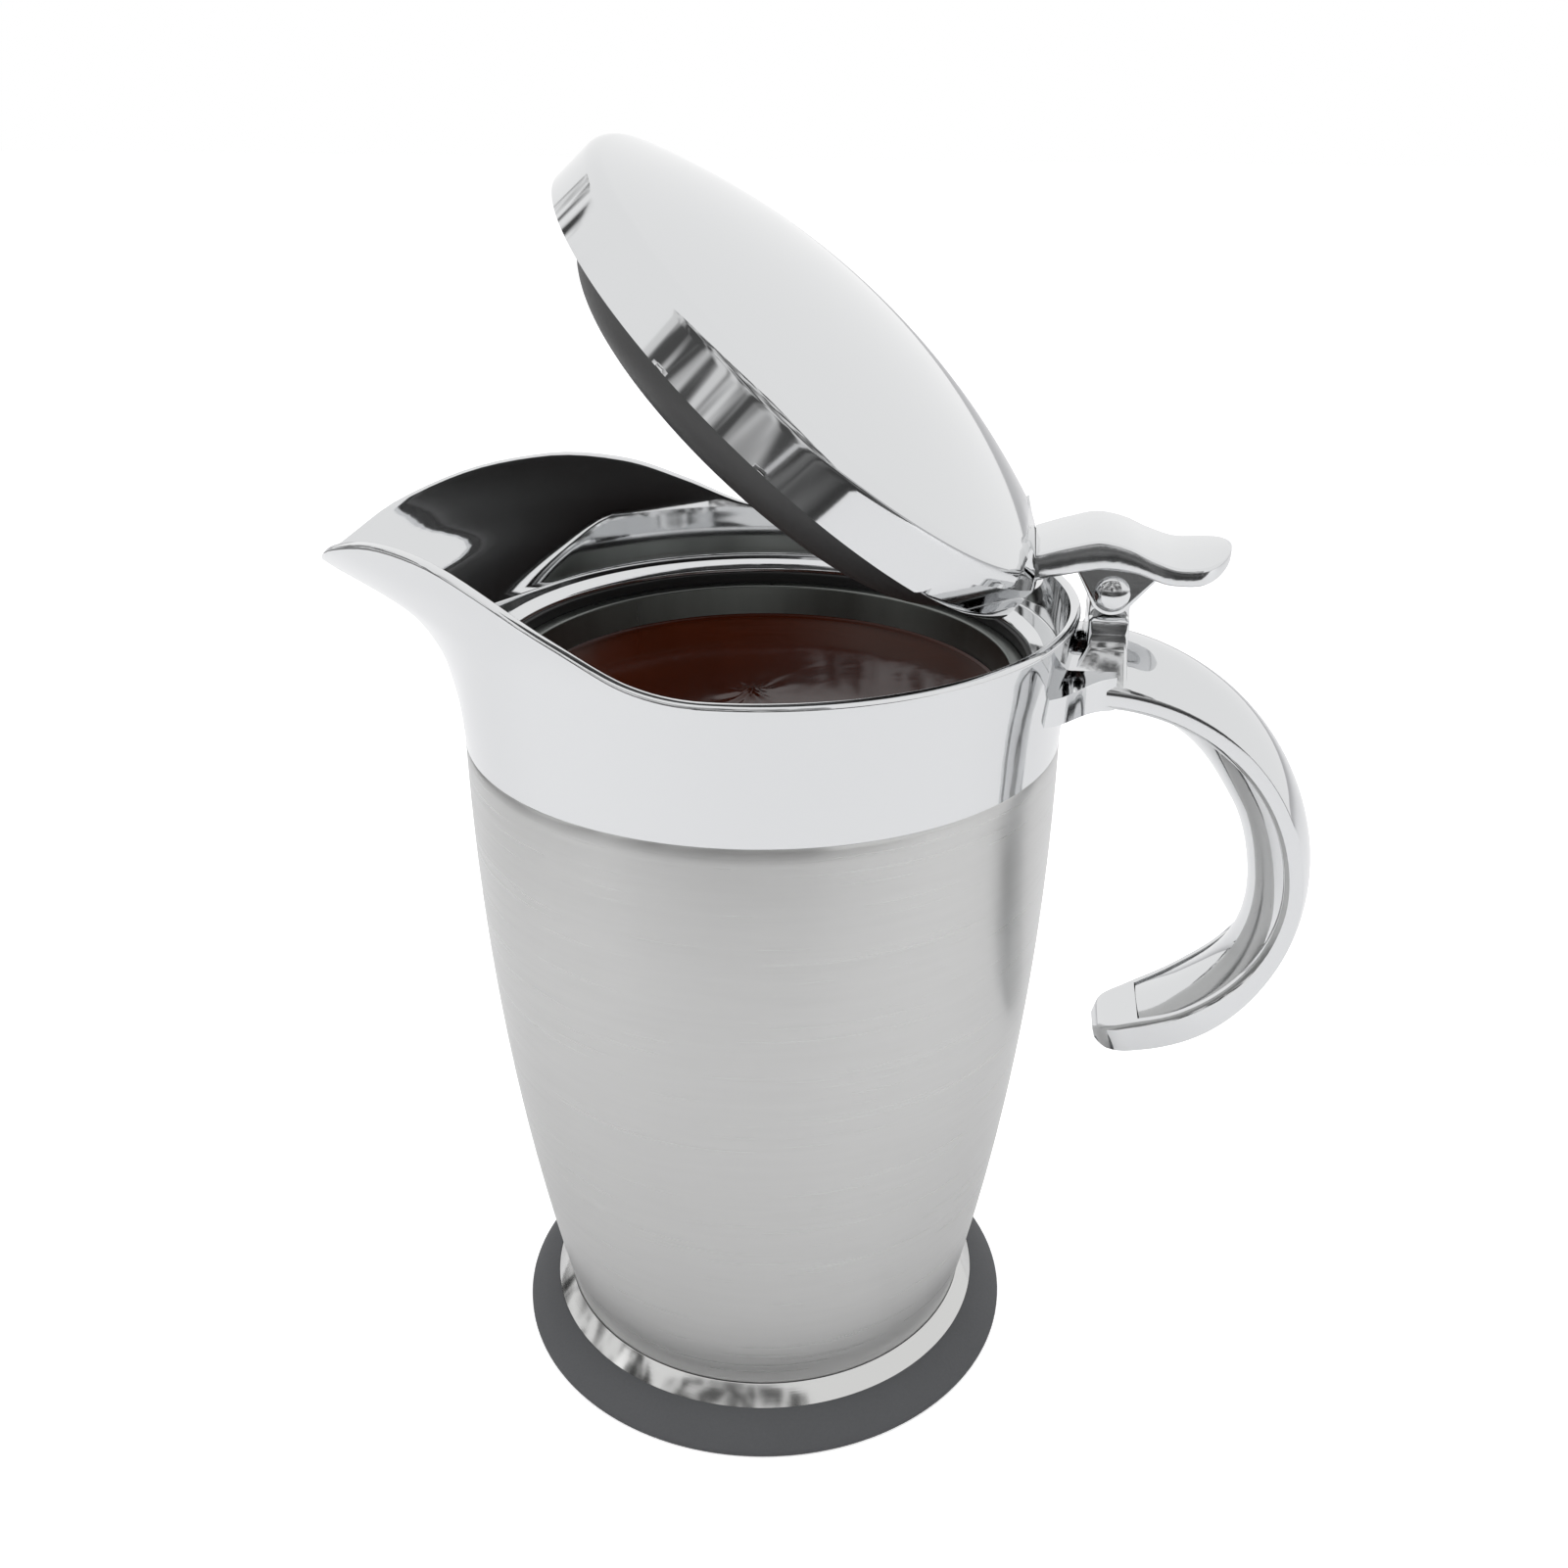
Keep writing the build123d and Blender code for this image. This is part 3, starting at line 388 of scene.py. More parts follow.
def loft(rings, cap=True, join_ends=False):
    """Extrudes a circle of edges from ring to ring and puts each ring's points in place."""
    bm = marked()
    ring_mark, line_mark = bm.verts.layers.int["ring"], bm.verts.layers.int["line"]
    loop = bmesh.ops.create_circle(bm, segments=len(rings[0]), radius=1)["verts"]
    for i, v in enumerate(loop):
        v.co, v[ring_mark], v[line_mark] = rings[0][i], 1, i + 1
    edges = list(bm.edges)
    first = list(edges)
    for number, ring in enumerate(rings[1:], 2):
        out = bmesh.ops.extrude_edge_only(bm, edges=edges)["geom"]
        fresh = {e for e in out if isinstance(e, bmesh.types.BMVert)}
        edges = [e for e in out if isinstance(e, bmesh.types.BMEdge)
                 and e.verts[0] in fresh and e.verts[1] in fresh]
        loop = [next(e.other_vert(v) for e in v.link_edges if e.other_vert(v) in fresh)
                for v in loop]
        for i, v in enumerate(loop):
            v.co, v[ring_mark], v[line_mark] = ring[i], number, i + 1
    if join_ends:
        bmesh.ops.remove_doubles(bm, verts=bm.verts, dist=0.0005)
    elif cap:
        bmesh.ops.contextual_create(bm, geom=first)
        bmesh.ops.contextual_create(bm, geom=edges)
    return bm


def opened(bm):
    """Turns a piece of the shut lid to where the lid stands at rest."""
    bmesh.ops.rotate(bm, verts=bm.verts, cent=(PIN_X, 0, PIN_Z),
                     matrix=Matrix.Rotation(radians(LID_OPEN), 3, "Y"))
    return bm


def together(*parts):
    """Several meshes as one."""
    joined = bmesh.new()
    for part in parts:
        mesh = bpy.data.meshes.new("part")
        part.to_mesh(mesh)
        part.free()
        joined.from_mesh(mesh)
        bpy.data.meshes.remove(mesh)
    return joined


def piece(name, bm, body, material, slot, *stands_for, crease=32):
    """Finishes a mesh as a piece that rides on a body and stands for the named nodes."""
    bmesh.ops.dissolve_degenerate(bm, dist=0.0002, edges=bm.edges)
    bmesh.ops.recalc_face_normals(bm, faces=bm.faces)
    bmesh.ops.scale(bm, vec=(0.001, 0.001, 0.001), verts=bm.verts)
    for face in bm.faces:
        face.smooth = True
    mesh = bpy.data.meshes.new(name)
    bm.to_mesh(mesh)
    bm.free()
    mesh.set_sharp_from_angle(angle=radians(crease))
    mesh.materials.append(material_of(material))
    obj = bpy.data.objects.new(name, mesh)
    bpy.context.scene.collection.objects.link(obj)
    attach(obj, body)
    if stands_for:
        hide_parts(*stands_for)
    return obj


def arc(p0, mid, p1, steps):
    """Points from p0 to p1 on the circle through mid, both ends included."""
    ax, ay, bx, by, cx, cy = *p0, *mid, *p1
    d = 2 * (ax * (by - cy) + bx * (cy - ay) + cx * (ay - by))
    ux = ((ax ** 2 + ay ** 2) * (by - cy) + (bx ** 2 + by ** 2) * (cy - ay)
          + (cx ** 2 + cy ** 2) * (ay - by)) / d
    uy = ((ax ** 2 + ay ** 2) * (cx - bx) + (bx ** 2 + by ** 2) * (ax - cx)
          + (cx ** 2 + cy ** 2) * (bx - ax)) / d
    start, end = Vector((ax - ux, ay - uy)), Vector((cx - ux, cy - uy))
    turn = -start.angle_signed(end)
    return [(ux + start.x * cos(turn * i / steps) - start.y * sin(turn * i / steps),
             uy + start.x * sin(turn * i / steps) + start.y * cos(turn * i / steps))
            for i in range(steps + 1)]


def box_loop(x0, x1, y0, y1, corner, steps=4):
    """A level rectangle with round corners, as flat points."""
    points = []
    for cx, cy, turn in ((x1 - corner, y1 - corner, 0), (x0 + corner, y1 - corner, 1),
                         (x0 + corner, y0 + corner, 2), (x1 - corner, y0 + corner, 3)):
        for i in range(steps + 1):
            a = (turn + i / steps) * pi / 2
            points.append((cx + corner * cos(a), cy + corner * sin(a)))
    return points


# ---- base and vessel ------------------------------------------------------------------------

def base_mesh():
    slope = (BAND_R - BODY_FOOT_R) / (BAND_TOP_Z - BASE_TOP_Z)
    low_r = BAND_R + slope * (BASE_TOP_Z - 2.0) + 0.1
    tilt = hypot(BASE_R - BAND_R, BASE_TOP_Z - 1.2)
    mid = ((BASE_R + BAND_R) / 2 + 0.7 * (BASE_TOP_Z - 1.2) / tilt,
           (1.2 + BASE_TOP_Z) / 2 + 0.7 * (BASE_R - BAND_R) / tilt)
    outline = [(0, 0)]
    for r in (18.0, 30.0, 42.0):
        outline += [(r - 0.8, 0), (r - 0.8, 0.6), (r + 0.8, 0.6), (r + 0.8, 0)]
    outline.append((BASE_R, 0))
    corner = len(outline)
    outline += arc((BASE_R, 1.2), mid, (BAND_R + 0.1, BASE_TOP_Z), 12)
    top = len(outline)
    outline += [(low_r, 2.0), (0, 2.0)]
    bm = spin_up(outline, closed=False)
    soften(bm, "ring", corner, 0.45)
    soften(bm, "ring", top, 0.12, 2)
    return bm


def foot_ring_mesh():
    slope = (BAND_R - BODY_FOOT_R) / (BAND_TOP_Z - BASE_TOP_Z)
    low_r = BAND_R + slope * (BASE_TOP_Z - 2.0)
    outline = [(BODY_FOOT_R + 0.1, BAND_TOP_Z), (low_r, 2.0), (35.0, 2.0), (35.0, 2.8),
               (low_r - 1.28, 2.8), (BODY_FOOT_R + 0.1, BAND_TOP_Z - 1.3)]
    bm = spin_up(outline)
    soften(bm, "ring", 1, 0.22, 3)
    return bm


def body_mesh():
    low, high = (BODY_FOOT_R, BAND_TOP_Z), (SEAM_R, SEAM_Z - 1.0)
    mid = ((low[0] + high[0]) / 2 + BELLY, (low[1] + high[1]) / 2)
    shoulder_z = SEAM_Z - 0.1
    outline = [(BODY_END_R, 2.8)] + arc(low, mid, high, 60)
    outline.append((SEAM_R - 0.3, shoulder_z))
    shoulder = len(outline)
    outline += [(NECK_R, shoulder_z), (NECK_R, NECK_TOP_Z)]
    neck = len(outline)
    outline += [(LINER_R + LINER_T, NECK_TOP_Z), (LINER_R + LINER_T, NECK_TOP_Z - STEEL_T),
                (NECK_R - STEEL_T, NECK_TOP_Z - STEEL_T),
                (NECK_R - STEEL_T, shoulder_z - STEEL_T),
                (SEAM_R - STEEL_T, shoulder_z - 2 * STEEL_T)]
    outline += arc((SEAM_R - STEEL_T, SEAM_Z - 2), (mid[0] - STEEL_T, mid[1]),
                   (BODY_FOOT_R - STEEL_T, BAND_TOP_Z), 24)
    outline.append((BODY_END_R - STEEL_T, 2.8))
    bm = spin_up(outline)
    soften(bm, "ring", neck, 2.6, 6)
    soften(bm, "ring", shoulder, 0.2, 3)
    return bm


def liner_mesh():
    lip_z = NECK_TOP_Z + LINER_T
    top_r = LINER_R - 0.05
    outline = [(0, LINER_FLOOR_Z), (LINER_FOOT_R, LINER_FLOOR_Z)]
    floor = len(outline)
    outline += [(top_r, lip_z)]
    mouth = len(outline)
    outline += [(LINER_LIP_R, lip_z), (LINER_LIP_R, NECK_TOP_Z),
                (LINER_R + LINER_T, NECK_TOP_Z), (LINER_FOOT_R + LINER_T, LINER_FLOOR_Z - LINER_T)]
    outer_floor = len(outline)
    outline.append((0, LINER_FLOOR_Z - LINER_T))
    bm = spin_up(outline, closed=False)
    soften(bm, "ring", floor, 7.5, 8)
    soften(bm, "ring", outer_floor, 7.5, 8)
    soften(bm, "ring", mouth, 0.35, 4)
    soften(bm, "ring", mouth + 1, 0.2, 3)
    return bm


def lip_gasket_mesh():
    outline = [(47.5, 144.6), (49.4, 144.6), (49.4, 140.6), (48.9, 140.6), (47.5, 141.9)]
    bm = spin_up(outline)
    soften(bm, "ring", 1, 0.3, 3)
    return bm


def syrup_mesh(level):
    """The syrup's skin climbs a little at the wall and draws up to a small point where the
    last of it ran in."""
    wall_r = LINER_FOOT_R + (LINER_R - LINER_FOOT_R) * (level - LINER_FLOOR_Z) / 129.6 - 0.06
    outline = [(0.0, level + 1.05)]
    outline += [(r, level + 1.05 * (1 - r / 4.2) ** 2) for r in (0.3, 0.7, 1.2, 1.9, 2.8)]
    outline += [(r, level) for r in (4.2, 8, 14, 22, 30, 37, 41)]
    outline += [(wall_r - 1.6, level + 0.03), (wall_r - 0.8, level + 0.14),
                (wall_r - 0.3, level + 0.32), (wall_r, level + 0.6)]
    outline += [(wall_r - 1.0, level - 14.0), (0.0, level - 14.0)]
    bm = spin_up(outline, closed=False)
    for v in bm.verts:
        r = hypot(v.co.x, v.co.y)
        if v.co.z > level - 1 and 0.2 < r < 9:
            fade = (1 - r / 9) ** 2
            v.co.z += 0.16 * fade * (1 + cos(5 * (r + pi * v.co.x / (r + 0.4))))
    bmesh.ops.translate(bm, vec=(-2.0, 0.0, 0.0), verts=[
        v for v in bm.verts if hypot(v.co.x, v.co.y) < 9 and v.co.z > level - 1])
    return bm


# ---- spout collar ---------------------------------------------------------------------------

def spout_point(i, radius, reach, nose):
    """The i-th of 208 points round one level: back arc, side line, nose arc, side line."""
    centre = reach - nose
    lean = acos(min((radius - nose) / centre, 1.0))
    side = 1 if i <= 104 else -1
    k = i if i <= 104 else 208 - i
    if k <= 72:
        a = (pi - lean) * k / 72
        return radius * cos(a), side * radius * sin(a)
    if k <= 88:
        t = (k - 72) / 16
        x0, y0 = -radius * cos(lean), radius * sin(lean)
        x1, y1 = -centre - nose * cos(lean), nose * sin(lean)
        return x0 + t * (x1 - x0), side * (y0 + t * (y1 - y0))
    a = pi - lean * (104 - k) / 16
    return -centre + nose * cos(a), side * nose * sin(a)


def collar_wall(i, z, inner):
    radius, reach, nose = between(SPOUT, z - FLOOR_RISE if inner else z)
    if inner:
        radius, reach, nose = radius - COLLAR_T, reach - COLLAR_T, max(nose - COLLAR_T, nose / 2)
    return spout_point(i, radius, reach, nose)


def rim_height(i, inner):
    """Where the wall's i-th line meets the rim's wave, by halving."""
    low, high = SEAM_Z, 172.0
    for _ in range(26):
        z = (low + high) / 2
        if z < between(RIM_WAVE, collar_wall(i, z, inner)[0])[0]:
            low = z
        else:
            high = z
    return low


def collar_mesh(rim_round):
    rings = []
    circle = [(cos(2 * pi * i / 208), sin(2 * pi * i / 208)) for i in range(208)]

    def round_ring(r, z):
        rings.append([(*[c * r for c in _round_point(i)], z) for i in range(208)])

    def _round_point(i):
        x, y = spout_point(i, SEAM_R, SEAM_R + 0.4, 34.0)
        return x / hypot(x, y), y / hypot(x, y)

    round_ring(SKIRT_IN_R, SEAM_Z)
    tops = [rim_height(i, False) for i in range(208)]
    for j in range(31):
        t = j / 30
        ring = []
        for i in range(208):
            z = SEAM_Z + t * (tops[i] - SEAM_Z)
            ring.append((*collar_wall(i, z, False), z))
        rings.append(ring)
    outer_rim = len(rings)
    inner_tops = [rim_height(i, True) for i in range(208)]
    for j in range(22):
        t = j / 21
        ring = []
        for i in range(208):
            z = inner_tops[i] + t * (SEAT_Z - inner_tops[i])
            ring.append((*collar_wall(i, z, True), z))
        rings.append(ring)
    seat = len(rings)
    for t in (0.1, 0.35, 0.65, 0.9):
        ring = []
        for i in range(208):
            x, y = collar_wall(i, SEAT_Z, True)
            ux, uy = _round_point(i)
            ring.append((x + t * (SEAT_IN_R * ux - x), y + t * (SEAT_IN_R * uy - y), SEAT_Z))
        rings.append(ring)
    round_ring(SEAT_IN_R, SEAT_Z)
    ledge = len(rings)
    round_ring(LEDGE_IN_R, LEDGE_IN_Z)
    round_ring(LEDGE_IN_R, LEDGE_UNDER_Z)
    round_ring(SKIRT_IN_R, LEDGE_UNDER_Z)
    round_ring(SKIRT_IN_R, SEAM_Z)
    bm = loft(rings, join_ends=True)
    soften(bm, "ring", outer_rim, rim_round)
    soften(bm, "ring", outer_rim + 1, rim_round)
    soften(bm, "ring", seat, 0.5)
    soften(bm, "ring", ledge, 0.25, 3)
    soften(bm, "ring", ledge + 1, 0.25, 3)
    return bm


# ---- handle ---------------------------------------------------------------------------------

def on_handle(angle, u, r):
    a = radians(angle)
    return HANDLE_X + r * cos(a), u, HANDLE_Z + r * sin(a)


def at_collar(point):
    """Keeps a point of the handle's root from going through the collar's wall."""
    x, y, z = point
    wall_r = between(SPOUT, z)[0] - 0.9
    if x < 58 and hypot(x, y) < wall_r:
        x = sqrt(max(wall_r ** 2 - y ** 2, 0.0))
    return x, y, z


def root_flare_mesh():
    """The root's foot, which spreads out over the collar under the handle's arched back."""
    rings = []
    for k in range(25):
        x = FLARE[0][0] + (FLARE[-1][0] - FLARE[0][0]) * k / 24
        wide = between(FLARE, x)[0]
        back = [(y, between(FLARE_TOP, abs(y))[0])
                for y in [wide * (1 - i / 12) for i in range(25)]]
        loop = [(-wide, FLARE_LOW_Z), (wide, FLARE_LOW_Z)] + back
        rings.append([at_collar((x, y, z)) for y, z in loop])
    return loft(rings)


def handle_stations():
    marks = [108, 104, 101, 98.5, 96.5, 94.5, 92.5, 90.5, 88.5, 86.5, 84.5, 82, 80, 78.2, 78.0]
    marks += [78 - 2.5 * i for i in range(1, 55)] + [-59.6, -60.0, -60.2, -62, -64, -66, -68]
    marks += [-70, -71.5, -73, -74, -74.8, -75.5, -76, -76.3]
    return sorted({m for m in marks}, reverse=True)


def handle_mesh(edge_round):
    rings = []
    for angle in handle_stations():
        half_w, r_in, r_side, r_crown, _ = between(HANDLE, angle)
        b = 0.9 * half_w / 11.8
        channel = 1.2 if -60.1 <= angle <= 78.1 else 0.0
        inner_w = max(half_w - PAD_RIM, 0.5 * half_w)
        half = [(inner_w, r_in + channel), (inner_w, r_in), (half_w - b, r_in),
                (half_w, r_in + b), (half_w, r_side)]
        crown = arc((half_w, r_side), (0, r_crown), (-half_w, r_side), 24)[1:-1]
        loop = half + crown + [(-u, r) for u, r in reversed(half)]
        ring = []
        for u, r in loop:
            ring.append(at_collar(on_handle(angle, u, r)))
        rings.append(ring)
    bm = loft(rings)
    count = len(rings[0])
    for line in (3, 4, 5):
        soften(bm, "line", line, edge_round if line > 4 else 0.3, 3)
        soften(bm, "line", count + 1 - line, edge_round if line > 4 else 0.3, 3)
    return together(bm, root_flare_mesh())


def pad_mesh():
    rings = []
    steps = 56
    for i in range(steps + 1):
        angle = PAD_FROM + (PAD_TO - PAD_FROM) * i / steps
        half_w, r_in, _, _, swell = between(HANDLE, angle)
        w = half_w - PAD_RIM - 0.1
        face = arc((w, r_in + PAD_STEP), (0, r_in + PAD_STEP - 0.3 - swell),
                   (-w, r_in + PAD_STEP), 16)
        loop = [(-w, r_in + 1.15), (w, r_in + 1.15)] + face
        rings.append([on_handle(angle, u, r) for u, r in loop])
    bm = loft(rings)
    soften(bm, "line", 3, 0.15, 2)
    soften(bm, "line", len(rings[0]), 0.15, 2)
    return bm


# ---- hinge ----------------------------------------------------------------------------------

def post_mesh():
    rings = []
    for t in (0, 0.15, 0.3, 0.45, 0.6, 0.75, 0.88, 1.0):
        ease = (1 - t) ** 1.15
        x0 = POST_X0 - 4.1 * ease
        loop = box_loop(x0, POST_X1 + 0.3 * ease, -POST_HALF_W - 3.2 * ease,
                        POST_HALF_W + 3.2 * ease, 0.7)
        rings.append([(*p, 145.2 + 6.0 * t) for p in loop])
    for inset, z in ((0, 153.5), (0, POST_TOP_Z - 0.6), (0.6, POST_TOP_Z)):
        loop = box_loop(POST_X0 + inset, POST_X1 - inset, -POST_HALF_W + inset,
                        POST_HALF_W - inset, 0.7 - inset / 2)
        rings.append([(*p, z) for p in loop])
    column = loft(rings)
    soften(column, "ring", len(rings) - 1, 0.12, 2)
    soften(column, "ring", len(rings), 0.12, 2)
    eye = [(KNUCKLE_R * cos(pi * i / 24), KNUCKLE_R * sin(pi * i / 24)) for i in range(25)]
    eye += [(-KNUCKLE_R, -3.0), (-KNUCKLE_R, -5.6), (KNUCKLE_R, -5.6), (KNUCKLE_R, -3.0)]
    ends = (-KNUCKLE_HALF_W, KNUCKLE_HALF_W)
    knuckle = loft([[(PIN_X + x, y, PIN_Z + z) for x, z in eye] for y in ends])
    soften(knuckle, "ring", 1, 0.3, 3)
    soften(knuckle, "ring", 2, 0.3, 3)
    return together(column, knuckle)


def pin_mesh():
    end = EAR_IN_Y + EAR_T
    outline = [(0, -end - 0.4), (PIN_R, -end - 0.4), (PIN_R, end + 0.05), (PIN_HEAD_R, end + 0.05)]
    outline += [(PIN_HEAD_R * cos(a), end + 0.35 + 1.15 * sin(a))
                for a in [radians(9 * i) for i in range(10)]]
    outline.append((0, end + 1.5))
    bm = spin_up(outline, closed=False, steps=64)
    bmesh.ops.rotate(bm, verts=bm.verts, cent=(0, 0, 0), matrix=Matrix.Rotation(pi / 2, 3, "X"))
    bmesh.ops.translate(bm, verts=bm.verts, vec=(PIN_X, 0, PIN_Z))
    return bm


def cap_mesh():
    end = EAR_IN_Y + EAR_T + 0.05
    outline = [(0, end + 0.5), (PIN_R + 0.02, end + 0.5), (PIN_R + 0.02, end), (PIN_HEAD_R, end)]
    outline += [(PIN_HEAD_R * cos(a), end + 0.4 + 1.45 * sin(a))
                for a in [radians(9 * i) for i in range(10)]]
    outline.append((0, end + 1.85))
    bm = spin_up(outline, closed=False, steps=64)
    bmesh.ops.rotate(bm, verts=bm.verts, cent=(0, 0, 0), matrix=Matrix.Rotation(-pi / 2, 3, "X"))
    bmesh.ops.translate(bm, verts=bm.verts, vec=(PIN_X, 0, PIN_Z))
    return bm


# ---- lever ----------------------------------------------------------------------------------

def lever_section(x, edge_round):
    top, under = between(LEVER_TOP, x)[0], between(LEVER_UNDER, x)[0]
    half_w = between(LEVER_HALF_W, min(x, PADDLE_X))[0]
    if x > PADDLE_X:
        half_w *= sqrt(max(1 - ((x - PADDLE_X) / (LEVER_END_X - PADDLE_X)) ** 2, 0.004))
    thick = top - under
    corner = min(edge_round, 0.45 * thick, 0.7 * half_w)
    points = []
    for cy, cz, turn, r in ((half_w, top, 0, corner), (-half_w, top, 1, corner),
                            (-half_w, under, 2, corner * 1.2), (half_w, under, 3, corner * 1.2)):
        r = min(r, 0.48 * thick, 0.8 * half_w)
        oy = cy - r if cy > 0 else cy + r
        oz = cz - r if turn < 2 else cz + r
        for i in range(6):
            a = (turn + i / 5) * pi / 2
            points.append((x, oy + r * cos(a), oz + r * sin(a)))
    return points


def ear_mesh(side):
    """A thin three-cornered ear round the pin, with a raised edge on its outer face."""
    y_in = side * EAR_IN_Y
    outline = [(53.8, 165.6), (68.6, 164.5)]
    outline += [(PIN_X + 3.9 * cos(a), PIN_Z + 3.9 * sin(a))
                for a in [radians(-38 - 9.5 * i) for i in range(12)]]
    bm = bmesh.new()
    verts = [bm.verts.new((x, y_in, z)) for x, z in outline]
    face = bm.faces.new(verts)
    out = bmesh.ops.extrude_face_region(bm, geom=[face])["geom"]
    bmesh.ops.translate(bm, vec=(0, side * EAR_T, 0),
                        verts=[v for v in out if isinstance(v, bmesh.types.BMVert)])
    outer = [f for f in out if isinstance(f, bmesh.types.BMFace)]
    bmesh.ops.inset_region(bm, faces=outer, thickness=0.55, depth=0.0)
    bmesh.ops.inset_region(bm, faces=outer, thickness=0.25, depth=-0.25)
    rim = [e for e in bm.edges if all(abs(v.co.y - y_in - side * EAR_T) < 1e-4 for v in e.verts)]
    bmesh.ops.bevel(bm, geom=rim, offset=0.12, segments=2, profile=0.5, affect="EDGES",
                    material=-1, clamp_overlap=True)
    return bm


def tongue_mesh():
    loop = box_loop(35.0, 49.6, -7.6, 7.6, 0.8)
    bm = loft([[(*p, z) for p in loop] for z in (152.8, 155.8)])
    return opened(bm)


def lever_mesh(edge_round):
    stations = [47.4 + i * (PADDLE_X - 47.4) / 40 for i in range(41)]
    stations += [PADDLE_X + (LEVER_END_X - PADDLE_X) * sin(pi / 2 * i / 20) for i in range(1, 21)]
    arm = loft([lever_section(x, edge_round) for x in stations])
    return together(arm, ear_mesh(-1), ear_mesh(1), tongue_mesh())


# ---- lid ------------------------------------------------------------------------------------

def dome_height(r, inset=0.0):
    cap = LID_CAP_R - inset
    return LID_APEX_Z - inset - cap + sqrt(cap ** 2 - r ** 2)


def slope_height(x):
    top = dome_height(SLOPE_X - LID_X)
    return top + (JOINT_TOP[1] - top) / (JOINT_TOP[0] - SLOPE_X) * (x - SLOPE_X)


SLOPE_NORMAL = Vector((slope_height(0) - slope_height(1), 1)).normalized()


def rear_form(x, y, z):
    """Draws a point behind the lid's rear wall or above its slope in to them, with the edge
    between the two rounded."""
    if x < 30 or z < SHELF_Z - 1e-6:
        return x, y, z
    rho = REAR_ROUND
    point, out, fall = Vector((x, z)), Vector((1, 0)), SLOPE_NORMAL
    start = Vector((SLOPE_X, slope_height(SLOPE_X)))

    def past_wall(p):
        return p.x - REAR_X + rho

    def past_slope(p):
        return (p - start).dot(fall) + rho

    u, v = past_wall(point), past_slope(point)
    if u <= 0 and v <= 0:
        return x, y, z
    on_wall, on_slope = point - u * out, point - v * fall
    if u > 0 and past_slope(on_wall) <= 0:
        near = on_wall
    elif v > 0 and past_wall(on_slope) <= 0:
        near = on_slope
    else:
        corner_x = REAR_X - rho
        near = Vector((corner_x, start.y - (rho + (corner_x - start.x) * fall.x) / fall.y))
    away = point - near
    if away.length <= rho:
        return x, y, z
    point = near + away * (rho / away.length)
    return point.x, y, max(point.y, SHELF_Z)


def lid_profile(rho):
    """Radii and heights over the lid's round edge and its dome, from the skirt to the middle."""
    edge_r = LID_R - LID_DRAFT
    up = Vector((-LID_DRAFT, dome_height(edge_r) - LID_LOW_Z)).normalized()
    out = Vector((up.y, -up.x))
    middle = Vector((0, LID_APEX_Z - LID_CAP_R))
    start = Vector((LID_R, LID_LOW_Z)) - rho * out
    along = (start - middle).dot(up)
    gap = (start - middle).length_squared - (LID_CAP_R - rho) ** 2
    centre = start + up * (sqrt(along ** 2 - gap) - along)
    top = (centre - middle).normalized()
    turn = out.angle(top)
    first = centre + rho * out
    points = []
    for i in range(15):
        a = turn * i / 14
        way = out * cos(a) + up * sin(a)
        points.append(tuple(centre + rho * way))
    last_r = points[-1][0]
    radii = [last_r * (1 - (i / 26) ** 1.0) for i in range(1, 26)] + [0.5]
    return first.y, points + [(r, dome_height(r)) for r in radii]


def lid_mesh(edge_round):
    count = 288
    angles = [2 * pi * i / count for i in range(count)]
    rings = []

    def ring(r, z, inner=False):
        points = []
        for a in angles:
            x, y = LID_X + r * cos(a), r * sin(a)
            points.append((x, y, z) if inner else rear_form(x, y, z))
        rings.append(points)

    for r in (44.0, 45.5, 47.0):
        ring(r, dome_height(r, LID_T + 1.5), inner=True)
    ring(LID_R - LID_T, 150.5, inner=True)
    ring(LID_R - LID_T, LID_LOW_Z + 0.05, inner=True)
    low = len(rings) + 1

    def swept(a):
        y = LID_R * sin(a)
        return between(SWEEP, abs(y))[0] if cos(a) > 0 else 0.0

    for k in range(7):
        points = []
        for a in angles:
            rise = swept(a)
            r = LID_R - min(LID_R - RECESS_R, 0.7 * rise)
            points.append((LID_X + r * cos(a), r * sin(a), LID_LOW_Z + rise * k / 6))
        rings.append(points)
    skirt_top, over = lid_profile(edge_round)
    for k in range(10):
        points = []
        for a in angles:
            rise = swept(a)
            z = LID_LOW_Z + rise + (skirt_top - LID_LOW_Z - rise) * k / 10
            r = LID_R - (LID_R - over[0][0]) * (z - LID_LOW_Z) / (skirt_top - LID_LOW_Z)
            points.append(rear_form(LID_X + r * cos(a), r * sin(a), z))
        rings.append(points)
    for r, z in over:
        ring(r, z)
    bm = loft(rings, cap=False)
    bmesh.ops.holes_fill(bm, edges=[e for e in bm.edges if e.is_boundary
                                    and e.verts[0].co.z > LID_APEX_Z - 0.2], sides=0)
    bmesh.ops.remove_doubles(bm, verts=bm.verts, dist=0.001)
    soften(bm, "ring", low, 0.2, 2)
    return together(opened(bm), opened(neck_mesh()))


